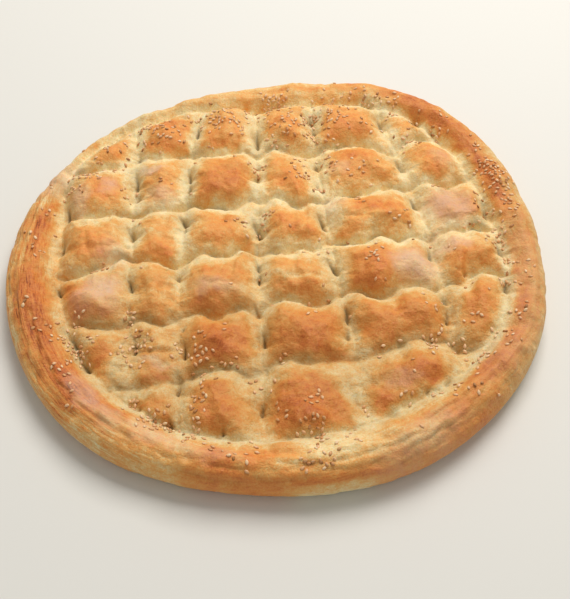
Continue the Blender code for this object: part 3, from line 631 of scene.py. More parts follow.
rimPatches = (
    # from the left side over the back to the right side
    (-142, 25, 6, 8, 0, 0.24), (-133, 32, 3, 10, 15, 0.16), (-138, 42, 3, 8, 5, 0.20),
    (-127, 62, 3, 6, 0, 0.20), (-124, 77, 4, 3, 50, 0.18), (-117, 88, 8, 3, 50, 0.20),
    (-98, 103, 5, 3, 40, 0.14), (-46, 128, 8, 3, 15, 0.18), (-33, 128, 5, 3, 10, 0.12),
    (-18, 132, 6, 4, 0, 0.38), (-2, 134, 8, 5, 0, 0.16), (10, 144, 10, 3, 0, 0.20),
    (30, 145, 12, 3, 0, 0.22), (24, 136, 7, 4, 0, 0.28), (6, 134, 4, 4, 0, 0.20),
    (38, 135, 4, 3, 0, 0.14), (50, 146, 9, 4, 0, 0.26), (52, 136, 6, 5, 0, 0.30),
    (68, 140, 10, 5, -20, 0.20), (78, 133, 8, 5, -30, 0.18), (88, 130, 8, 6, -45, 0.20),
    (93, 121, 10, 9, -45, 0.38), (101, 128, 9, 4, -45, 0.22), (104, 109, 9, 6, -50, 0.34),
    (112, 105, 8, 5, -50, 0.20), (117, 94, 10, 8, -60, 0.40), (114, 85, 4, 4, 0, 0.20),
    (125, 76, 9, 6, -65, 0.40), (129, 60, 10, 6, -80, 0.44), (131, 44, 10, 5, 90, 0.38),
    (135, 30, 9, 5, 90, 0.30), (140, 62, 10, 5, -70, 0.22), (132, 10, 10, 4, 90, 0.26),
    (133, -8, 10, 4, 90, 0.28), (134, -26, 12, 4, 88, 0.20), (132, -46, 9, 5, 75, 0.18),
    # the front, from right to left
    (126, -66, 8, 5, 60, 0.40), (115, -82, 7, 6, 50, 0.44), (104, -88, 7, 6, 50, 0.38),
    (110, -115, 5, 4, 45, 0.35), (95, -106, 9, 5, 48, 0.26), (86, -127, 18, 5, 36, 0.10),
    (75, -114, 9, 5, 40, 0.20), (64, -122, 11, 4, 28, 0.12), (60, -138, 14, 4, 25, 0.16),
    (40, -147, 14, 4, 12, 0.32), (15, -149, 18, 4, 0, 0.24), (22, -139, 14, 4, 6, 0.08),
    (8, -134, 12, 4, 0, 0.12), (-28, -136, 9, 6, -8, 0.40), (-8, -136, 7, 5, 0, 0.34),
    (-29, -144, 14, 4, -6, 0.32), (31, -126, 12, 8, 10, -0.34), (52, -121, 12, 5, 15, -0.12),
    (10, -139, 12, 4, 0, -0.12), (74, -108, 12, 4, 38, -0.10), (-20, -149, 14, 4, -5, 0.22),
    (-62, -128, 14, 4, -25, 0.10), (-76, -111, 6, 4, -40, 0.18), (-90, -101, 9, 6, -42, 0.26),
    (-96, -111, 7, 3, -42, 0.20), (-84, -124, 12, 3, -35, 0.14), (-105, -108, 6, 4, -50, 0.22),
)

# the same along the rim: (from degrees, to degrees, mm from the middle, half width, how much)
# the bands that make the back rim's top (62 to 152 degrees) and the front rim's crest (284 to 314) paler
# are partly painted light, lighter where the rim catches more light
brownBands = (
    (232, 314, 134, 7, -0.15), (268, 322, 157, 9, 0.08), (218, 262, 158, 9, -0.16),
    (322, 392, 159, 9, -0.30), (118, 166, 152, 14, -0.12), (164, 200, 142.5, 8.5, 0.28),
    (188, 222, 143, 9.5, 0.48), (160, 197, 149.5, 1.5, -0.30), (188, 205, 157, 2, -0.30),
    (166, 232, 134, 4, -0.20), (202, 222, 142, 7, 0.14), (214, 232, 139, 7, 0.20),
    (308, 345, 148, 12, 0.12), (284, 314, 147, 8, -0.07), (342, 384, 147, 12, 0.08),
    (100, 152, 146, 14, -0.22), (62, 100, 146, 12, -0.20),
)
goldenGroove = ((166, 198, 130, 6, 0.14), (200, 228, 129, 7, 0.08))  # the rim's groove took colour here
rawStrip = ((273, 288, 166, 14, 1.0),)  # and the foot of the side stayed raw here

# painted highlights: pale, faintly pink places where the glossy wash reflects the light
paintedSheenPatches = (
    (-77, 65, 8, 3, 0, 0.8), (-70, 44, 8, 6, 0, 0.5), (-98, -28, 9, 8, 20, 0.8),
    (-92, -40, 6, 7, 0, 0.35), (-108, -40, 8, 7, 0, 0.35), (-94, -3, 8, 9, 0, 0.4),
    (-33, -30, 12, 4, 0, 0.45), (80, -11, 12, 9, -10, 0.8), (102, 2, 9, 5, 10, 0.7),
    (103, 36, 12, 13, 0, 0.75), (-118, 40, 5, 9, 10, 0.5), (66, -90, 9, 4, 0, 0.35),
    (-60, -122, 14, 5, -27, 0.5), (-137, 62, 8, 14, -35, 0.6), (-88, -110, 12, 5, -42, 0.5),
    (-100, -95, 9, 5, -45, 0.4), (-30, -134, 14, 4, -10, 0.3), (74, -126, 24, 7, 34, 0.35),
    (140, -14, 9, 34, 0, 0.22), (124, -72, 9, 24, -38, 0.22), (40, 66, 6, 4, 0, 0.3),
    (-63, -77, 9, 3, -10, 0.5), (35, 38, 6, 6, 0, 0.4), (97, 12, 10, 5, 0, 0.3),
    (-103, 50, 4, 6, 15, 0.5), (104, 74, 5, 8, 20, 0.3),
)

# painted shade: places made darker where less light falls on the crust
shadePatches = ((-33, 50, 14, 14, 0, 0.11), (103, 38, 13, 13, 0, 0.15), (-129, -60, 16, 7, -61, 0.10))

patchForm = {
    # how the edges wander: how far, size of a wave, random seed
    "sideWarps": ((2.6 * mm, 7 * mm, 31), (1.3 * mm, 3 * mm, 33)),
    "backWarps": ((2.6 * mm, 7 * mm, 32), (1.3 * mm, 3 * mm, 34)),
    "spread": 1.1,  # how much larger a patch is than noted
    "softness": 0.7,
    "flatness": 1.8,
    "bandRunOut": (5, 8),  # degrees past its end where a band stops, and over how many
    "bandFlatness": 2.6,
}


def placeInTables(x, y):
    return x - tableOrigin[0] * mm, y - tableOrigin[1] * mm


def patchField(x, y, patches):
    total = np.zeros_like(x)
    form = patchForm
    x = addNoise(x, x, y, form["sideWarps"])
    y = addNoise(y, x, y, form["backWarps"])
    for px, py, length, width, turn, strength in patches:
        c, s = math.cos(math.radians(turn)), math.sin(math.radians(turn))
        dx, dy = x - px * mm, y - py * mm
        along = (c * dx + s * dy) / (form["spread"] * length * mm)
        across = (c * dy - s * dx) / (form["spread"] * width * mm)
        total += strength * np.exp(-form["softness"] * (along**2 + across**2) ** form["flatness"])
    return total


def bandField(angle, radius, bands):
    total = np.zeros_like(radius)
    degrees = np.degrees(angle)
    past, runOut = patchForm["bandRunOut"]
    for start, end, middle, width, strength in bands:
        half = (end - start) / 2
        offset = (degrees - (start + end) / 2 + 180) % 360 - 180
        along = smoothStep((half + past - np.abs(offset)) / runOut)
        across = (radius - middle * mm) / (width * mm)
        shape = np.exp(-patchForm["softness"] * np.abs(across) ** patchForm["bandFlatness"])
        total += strength * along * shape
    return total


def creaseDepth(angle, radius):
    detail = rimDetail
    wander, waveSize, seed = detail["creaseWander"]
    lipHeight, lipPlace, lipWidth = detail["lip"]
    depth = np.zeros_like(radius)
    degrees = np.degrees(angle) % 360
    for start, startRadius, end, endRadius, deep, halfWidth in detail["creases"]:
        t = (degrees - start) / (end - start)
        middle = (startRadius + (endRadius - startRadius) * t) * mm
        lane = np.full_like(angle, start * mm)
        middle = middle + wander * softNoise(angle * loaf["radius"], lane, waveSize, seed)
        ends = smoothStep(t / detail["creaseEnds"]) * smoothStep((1 - t) / detail["creaseEnds"])
        across = (radius - middle) / (halfWidth * mm)
        lip = lipHeight * np.exp(-(((across + lipPlace) / lipWidth) ** 2))
        depth += detail["creaseDeepening"] * deep * mm * ends * (np.exp(-np.abs(across)) - lip)
    return depth


def rimWay(angle, radius):
    # a place on the rim, stretched so that a pattern on it runs along the rim with no seam
    across = radius - rimSizes(angle)[1]
    turn = loaf["radius"] / rimDetail["streakLength"]
    return np.stack([np.cos(angle) * turn, np.sin(angle) * turn, across / rimDetail["streakWidth"]], axis=1)


def streakNoise(way, seed):
    # smooth noise in three directions, the mean of two slices that start apart
    apart = 7.3
    first = softNoise(way[:, 0], way[:, 2], 1.0, seed)
    return 0.5 * (first + softNoise(way[:, 1], way[:, 2] + apart, 1.0, seed + 1))


def streakShare(angle, arc):
    # how much the long thin lines show
    middle, half, runOut = rimDetail["stretched"]
    least, more, outermost = rimDetail["streakLevels"]
    outer, over = rimDetail["outerSide"]
    offset = (np.degrees(angle) - middle + 180) % 360 - 180
    left = smoothStep((half - np.abs(offset)) / runOut)
    return least + more * left + outermost * left * smoothStep((arc - outer) / over)


def shapeCrust():
    share, angle = discPositions(loaf["cells"])
    outer, groove, _ = rimSizes(angle)
    outer = outer - loaf["inset"]
    crest = (outer + groove) / 2
    shoulder = loaf["shoulderShare"]
    planRadius = crest * np.minimum(share / shoulder, 1)
    x, y = planRadius * np.cos(angle), planRadius * np.sin(angle)
    z = crustHeight(x, y)

    past = np.clip((share - shoulder) / (1 - shoulder), 0, 1)
    over = np.minimum(past / loaf["overShare"], 1) * math.pi / 2
    under = np.clip((past - loaf["overShare"]) / (1 - loaf["overShare"]), 0, 1) * math.pi / 2
    reach = (outer - crest) * np.sin(over) - loaf["footInset"] * (1 - np.cos(under))
    radius = planRadius + np.where(past > 0, reach, 0)
    bulge = loaf["bulgeHeight"]
    side = bulge + (z - bulge) * np.cos(over) - bulge * np.sin(under)
    z = np.where(past > 0, side, z)
    fromSide = np.sin(over) * np.cos(under)  # how far the surface faces outwards

    x, y = radius * np.cos(angle), radius * np.sin(angle)
    arc = radius + (outer - crest) * loaf["sideArc"] * (1 - np.cos(over)) + bulge * np.sin(under)
    way = rimWay(angle, arc)
    onRim = smoothStep((arc - groove) / loaf["rimBlend"])

    fine = addNoise(0, x, y, pillows["fineLumps"])
    calm = 1 - pillows["rimCalm"] * onRim
    for height, size, seed in pillows["wrinkles"]:
        ridges = ridgedNoise(x, y * pillows["wrinkleStretch"], size, seed) - pillows["wrinkleMean"]
        fine += height * ridges * calm
    fine += rimDetail["streakHeight"] * onRim * streakNoise(way, rimDetail["streakSeed"])
    rolls = streakNoise(way / np.array(rimDetail["rollScale"]), rimDetail["rollSeed"])
    fine += rimDetail["rollHeight"] * onRim * rolls
    fine -= creaseDepth(angle, arc)
    above = smoothStep(z / loaf["footBlend"])
    z = z + fine * above * (1 - rimDetail["sideCalm"] * fromSide)
    radius = radius + np.minimum(fine, 0) * fromSide * above

    middleX, middleY = loaf["middle"]
    points = np.stack([radius * np.cos(angle) + middleX, radius * np.sin(angle) + middleY, z], 1)
    return points, x, y, angle, arc, fromSide, onRim, way


browning = {
    "lean": 1.6 * mm,  # the browned top of a pillow lies a little to its front
    # how far from a groove's middle the dough stays pale, in mm: columns from left to right,
    # rows from the front (behind the groove, in front of it), and the rim's groove (inside, outside)
    "paleColumns": (7.5, 6.5, 7.0, 9.0, 7.5),
    "paleRows": ((5.5, 9.5), (4.8, 7.5), (6.5, 7.5), (7.0, 7.5), (6.5, 7.0)),
    "paleRim": (4.5, 4.2),
    "palePress": 7.0 * mm,  # the depth of a press from which it is all pale
    # how much wider and narrower the pale goes: amount, size, random seed
    "paleWaves": ((0.35, 16 * mm, 46), (0.2, 6 * mm, 47)),
    # how much it comes and goes, the size of that, how much more a column's does so in front, and
    # what stays at the least
    "palePatches": (0.75, 17 * mm, 0.25, 0.35),
    "paleSeed": 301,
    "paleEnd": 10 * mm,  # the lines run out over this width beside the rim
    "paleEdge": ((0.10, 5 * mm, 41), (0.07, 2.6 * mm, 42)),
    "pillowLevel": 0.345,
    "rimLevel": 0.40,
    "grooveLevel": 0.11,
    "patchShare": 0.66,  # of the browning noted for patches
    "bandShare": 0.62,  # and for bands
    "most": 0.40,  # what both can add
    "unevenness": ((0.05, 11 * mm, 43), (0.04, 4 * mm, 44)),
    "grooveUnevenness": ((0.05, 8 * mm, 45),),
    "streakLevel": 0.09,
    "streakScale": (1.0, 1.0, 0.7),  # for that of the rim's own streaks
    "streakSeed": 71,
    "frontRise": 0.05,  # the front of the loaf baked browner
    "grooveFrontRise": 0.12,  # and its grooves
    "paleFoot": (7 * mm, 5 * mm, 0.25),  # below this height, over this way, by this share
    "rawTop": (18 * mm, 3 * mm),  # the raw strip ends at this height, over this way
    "frontShade": 0.21,  # painted shade, darker towards the front of the loaf
    "rimSideShade": (0.12, 0.18),  # painted shade on the rim, on the left and on the right
    "foldShade": (5 * mm, 0.17),  # painted shade in the rim's folds: a fold this deep would be all shaded, but is so at most
}


def paleShare(x, y):
    # 1 at the bottom of the grooves and presses, falling to 0 on the pillows
    form = browning
    columns, rows = lineDistances(x, y)
    widths = addNoise(1, x, y, form["paleWaves"])
    inside = rimSizes(np.arctan2(y, x))[1] - np.hypot(x, y)
    swing, size, frontSwing, least = form["palePatches"]
    lines = [(distance, width, width, frontSwing) for distance, width in zip(columns, form["paleColumns"])]
    lines += [(distance, *width, 0) for distance, width in zip(rows, form["paleRows"])]
    pale = np.zeros_like(x)
    front = towardsFront(y, "grooves")
    for seed, (distance, before, after, more) in enumerate(lines, start=form["paleSeed"]):
        reach = np.where(distance > 0, before, after) * widths * mm
        patchy = smoothStep(1.0 + swing * softNoise(x, y, size, seed) - more * front)
        pale = np.maximum(pale, (least + (1 - least) * patchy) * np.exp(-((distance / reach) ** 2)))
    pale *= smoothStep(1 + inside / form["paleEnd"])
    reach = np.where(inside > 0, *form["paleRim"]) * widths * mm
    pale = np.maximum(pale, np.exp(-((inside / reach) ** 2)))
    return np.maximum(pale, np.minimum(pressDepth(x, y)[0] / form["palePress"], 1))


def bakeLevels(z, x, y, angle, arc, onRim, way):
    form = browning
    edge = addNoise(0, x, y, form["paleEdge"])
    relief = smoothStep(1.0 - paleShare(x, y + form["lean"]) + edge)
    top = form["pillowLevel"] + (form["rimLevel"] - form["pillowLevel"]) * onRim
    top = top + form["frontRise"] * towardsFront(y, "baking") * (1 - onRim)
    patches = form["patchShare"] * patchField(*placeInTables(x, y), brownPatches + rimPatches)
    patches = patches + form["bandShare"] * bandField(angle, arc, brownBands)
    top = top + form["most"] * np.tanh(patches / form["most"])
    top = addNoise(top, x, y, form["unevenness"])
    streaks = streakNoise(way * np.array(form["streakScale"]), form["streakSeed"])
    top = top + form["streakLevel"] * onRim * streaks
    inField = smoothStep((rimSizes(angle)[1] - np.hypot(x, y)) / loaf["rimBlend"])
    low = form["grooveLevel"] + form["grooveFrontRise"] * towardsFront(y, "grooves") * inField
    low = addNoise(low, x, y, form["grooveUnevenness"]) + bandField(angle, arc, goldenGroove)
    bake = low + (top - low) * relief
    # the foot of the loaf stays pale, where the bottom crust meets the side
    height, over, paler = form["paleFoot"]
    bake = bake * (1 - paler * smoothStep((height - z) / over))
    height, over = form["rawTop"]
    return bake * (1 - bandField(angle, arc, rawStrip) * smoothStep((height - z) / over))


def paintedShadeLevels(x, y, angle, arc, onRim):
    # painted shade: in the presses, creases and folds, towards the front, on the rim's sides and in a few
    # patches where less light falls
    foldDepthInFull, foldMost = browning["foldShade"]
    folds = np.clip(creaseDepth(angle, arc) / foldDepthInFull, 0, foldMost)
    leftShade, rightShade = browning["rimSideShade"]
    shade = browning["frontShade"] * towardsFront(y, "baking") * (1 - onRim)
    shade += onRim * (leftShade * smoothStep(-np.cos(angle)) + rightShade * smoothStep(np.cos(angle)))
    shade = shade + patchField(*placeInTables(x, y), shadePatches)
    return 1 - (1 - np.maximum(hollowShadeLevels(x, y), folds)) * (1 - shade)


def setAttribute(mesh, name, values):
    vector = values.ndim == 2
    attribute = mesh.attributes.new(name, "FLOAT_VECTOR" if vector else "FLOAT", "POINT")
    attribute.data.foreach_set("vector" if vector else "value", values.astype(np.float32).ravel())


# Crust: baked wheat dough under a yoghurt and egg wash. It is satin, golden to red brown on
# the high places and cream in the grooves, with freckles and small blisters.
crustLook = {
    "bakeRamp": (
        (0.00, "#f7e6bb"), (0.12, "#f3daa4"), (0.24, "#efc788"), (0.36, "#ebaf64"), (0.50, "#e89b4f"),
        (0.60, "#e38d45"), (0.72, "#d67a3a"), (0.84, "#bc5f29"), (1.00, "#8c4519"),
    ),
    # what a pattern lies on, its scale, detail, roughness and distortion
    "patterns": {
        "mottle": ("place", 1 / (4.6 * mm), 5.0, 0.58, 0.0),
        "freckle": ("place", 1 / (0.95 * mm), 3.0, 0.6, 0.0),
        "pore": ("place", 1 / (0.55 * mm), 2.0, 0.5, 0.0),
        "wrinkle": ("stretched", 1.0, 4.0, 0.6, 0.6),
        "streaks": ("rimWay", 1.5, 3.0, 0.55, 0.0),
        "threads": ("rimWay", 2.6, 2.0, 0.5, 0.0),
    },
    "wrinkleShape": (1 / (2.9 * mm), 1 / (1.8 * mm), 1 / (2.2 * mm)),
    "blister": 2.6 * mm,
    # how much each pattern browns; the mottle does so less where the rim is streaky
    "mottleBrowns": (0.50, -0.30),
    "freckleBrowns": 0.45,
    "wrinkleBrowns": 0.20,
    "streaksBrown": 0.5,
    # lines on the rim: where in the pattern they start and are full, and how much they brown
    "rimLines": (
        ("streaks", 0.56, 0.70, 0.10), ("threads", 0.56, 0.66, 0.13), ("threads", 0.44, 0.34, -0.10),
    ),
    # painted highlights: the pale pink that stands for light reflected by the wash, and how strong
    "paintedSheenColour": "#ebcab0",
    "paintedSheenStrength": 1.35,
    # painted shade: the colour mixed in where shade falls, and how much of it
    "paintedShadeColour": "#54390f",
    "paintedShadeStrength": 0.85,
    "undersideColour": "#b9793f",  # the bottom crust, browned evenly on the stone
    "undersideHeights": (0.8 * mm, 0.2 * mm),  # where it begins, and where it is full
    "flourColour": "#e8d5b4",
    "flourPatches": (0.42, 0.62, 0.75),  # where in the mottle it begins and is full, and how thick
    "roughness": (0.1, 0.7, 0.62, 0.44),  # from this browning to that one, and the roughness of each
    # how much each pattern stands out against the freckles
    "mottleRelief": 1.6,
    "wrinkleRelief": 1.0,
    "poreRelief": 0.35,
    "blisterRelief": -0.5,
    "bumpHeight": 0.50 * mm,
    "bumpStrength": 0.8,
    "finish": {
        "IOR": 1.45, "Specular IOR Level": 0.35, "Subsurface Weight": 0.14,
        "Subsurface Radius": (1.0, 0.45, 0.2), "Subsurface Scale": 3.0 * mm,
    },
}


def crustMaterial():
    look = crustLook
    material, tree, shader = newMaterial("baked wheat crust, yoghurt wash")
    place = addNode(tree, "ShaderNodeTexCoord").outputs["Object"]
    bake, paintedSheen, streaky, paintedShade = (
        addNode(tree, "ShaderNodeAttribute", attribute_name=name).outputs["Fac"]
        for name in ("bake", "paintedSheen", "streaky", "paintedShade"))
    way = addNode(tree, "ShaderNodeAttribute", attribute_name="rimWay").outputs["Vector"]
    stretched = addNode(tree, "ShaderNodeVectorMath", {0: place, 1: look["wrinkleShape"]},
                        operation="MULTIPLY").outputs[0]
    grounds = {"place": place, "stretched": stretched, "rimWay": way}
    pattern = {}
    for name, (ground, scale, detail, roughness, distortion) in look["patterns"].items():
        pattern[name] = addNode(tree, "ShaderNodeTexNoise", {
            "Vector": grounds[ground], "Scale": scale, "Detail": detail, "Roughness": roughness,
            "Distortion": distortion}).outputs["Fac"]
    blister = addNode(tree, "ShaderNodeTexVoronoi", {
        "Vector": place, "Scale": 1 / look["blister"], "Randomness": 1.0}, feature="F1").outputs["Distance"]

    # the browning, with the patterns added to it
    total = bake
    mottleBrowns, calmer = look["mottleBrowns"]
    mottled = addNode(tree, "ShaderNodeMath", {0: streaky, 1: calmer, 2: mottleBrowns},
                      operation="MULTIPLY_ADD").outputs[0]
    amounts = {"mottle": mottled, "freckle": look["freckleBrowns"], "wrinkle": look["wrinkleBrowns"]}
    for name, amount in amounts.items():
        centred = addNode(tree, "ShaderNodeMath", {0: pattern[name], 1: 0.5}, operation="SUBTRACT")
        total = addNode(tree, "ShaderNodeMath", {0: centred.outputs[0], 1: amount, 2: total},
                        operation="MULTIPLY_ADD").outputs[0]
    centred = addNode(tree, "ShaderNodeMath", {0: pattern["streaks"], 1: 0.5}, operation="SUBTRACT")
    browned = addNode(tree, "ShaderNodeMath", {0: centred.outputs[0], 1: look["streaksBrown"]},
                      operation="MULTIPLY")
    total = addNode(tree, "ShaderNodeMath", {0: browned.outputs[0], 1: streaky, 2: total},
                    operation="MULTIPLY_ADD").outputs[0]
    for name, low, high, amount in look["rimLines"]:
        line = addNode(tree, "ShaderNodeMapRange", {0: pattern[name], 1: low, 2: high, 3: 0.0, 4: amount},
                       interpolation_type="SMOOTHSTEP")
        total = addNode(tree, "ShaderNodeMath", {0: line.outputs[0], 1: streaky, 2: total},
                        operation="MULTIPLY_ADD").outputs[0]
    ramp = addNode(tree, "ShaderNodeValToRGB", {"Fac": total})
    setColours(ramp, look["bakeRamp"])

    # painted highlights, broken up by the mottle
    sheenShare = addNode(tree, "ShaderNodeMath", {0: pattern["mottle"], 1: paintedSheen}, operation="MULTIPLY")
    sheenShare = addNode(tree, "ShaderNodeMath", {0: sheenShare.outputs[0], 1: look["paintedSheenStrength"]},
                     operation="MULTIPLY")
    start, full = look["undersideHeights"]
    height = addNode(tree, "ShaderNodeSeparateXYZ", {0: place}).outputs["Z"]
    under = addNode(tree, "ShaderNodeMapRange", {0: height, 1: start, 2: full, 3: 0.0, 4: 1.0})
    start, full, thick = look["flourPatches"]
    flour = addNode(tree, "ShaderNodeMapRange", {0: pattern["mottle"], 1: start, 2: full, 3: 0.0, 4: thick})
    bottom = addNode(tree, "ShaderNodeMix", {
        0: flour.outputs[0], 6: linear(look["undersideColour"]), 7: linear(look["flourColour"])},
        data_type="RGBA")
    shadeShare = addNode(tree, "ShaderNodeMath", {0: paintedShade, 1: look["paintedShadeStrength"]}, operation="MULTIPLY")
    # over each other: the baked dough, the painted highlights, the bottom crust, and the painted shade in
    # the hollows, creases and shaded places
    colour = ramp.outputs["Color"]
    for share, over in ((sheenShare, linear(look["paintedSheenColour"])), (under, bottom.outputs[2]),
                        (shadeShare, linear(look["paintedShadeColour"]))):
        colour = addNode(tree, "ShaderNodeMix", {0: share.outputs[0], 6: colour, 7: over},
                         data_type="RGBA").outputs[2]

    low, high, dullest, glossiest = look["roughness"]
    rough = addNode(tree, "ShaderNodeMapRange", {0: total, 1: low, 2: high, 3: dullest, 4: glossiest})
    relief = pattern["freckle"]
    for source, amount in (
            (pattern["mottle"], look["mottleRelief"]), (pattern["wrinkle"], look["wrinkleRelief"]),
            (pattern["pore"], look["poreRelief"]), (pattern["streaks"], streaky),
            (blister, look["blisterRelief"])):
        relief = addNode(tree, "ShaderNodeMath", {0: source, 1: amount, 2: relief},
                         operation="MULTIPLY_ADD").outputs[0]
    bump = addNode(tree, "ShaderNodeBump", {
        "Height": relief, "Strength": look["bumpStrength"], "Distance": look["bumpHeight"]})

    tree.links.new(colour, shader.inputs["Base Color"])
    tree.links.new(rough.outputs[0], shader.inputs["Roughness"])
    tree.links.new(bump.outputs["Normal"], shader.inputs["Normal"])
    for name, value in look["finish"].items():
        shader.inputs[name].default_value = value
    return material


def makeCrust():
    points, x, y, angle, arc, fromSide, onRim, way = shapeCrust()
    z = points[:, 2]
    crust = addMesh("crust", points.tolist(), discFaces(loaf["cells"]), crustMaterial())
    mesh = crust.data
    levels = {
        "bake": bakeLevels(z, x, y, angle, arc, onRim, way),
        # painted shade
        "paintedShade": paintedShadeLevels(x, y, angle, arc, onRim),
        # painted highlights
        "paintedSheen": patchField(*placeInTables(x, y), paintedSheenPatches),
        "streaky": onRim * streakShare(angle, arc),
        "rimWay": way,
        "seedShare": seedShare(*placeInTables(x, y), z, fromSide),
    }
    for name, values in levels.items():
        setAttribute(mesh, name, values)
    mesh.shade_smooth()
    thinner = crust.modifiers.new("thinner", "DECIMATE")
    thinner.ratio = loaf["triangles"] / (2 * len(mesh.polygons))
    graph = bpy.context.evaluated_depsgraph_get()
    thinned = bpy.data.meshes.new_from_object(crust.evaluated_get(graph))
    crust.modifiers.clear()
    crust.data = thinned
    highest = max(vertex.co.z for vertex in thinned.vertices)
    triangles = sum(len(face.vertices) - 2 for face in thinned.polygons)
    print("crust:", triangles, "triangles,", round(highest / mm, 2), "mm high, and the solid",
          round(loafHigh[2] / mm, 2))
    return crust


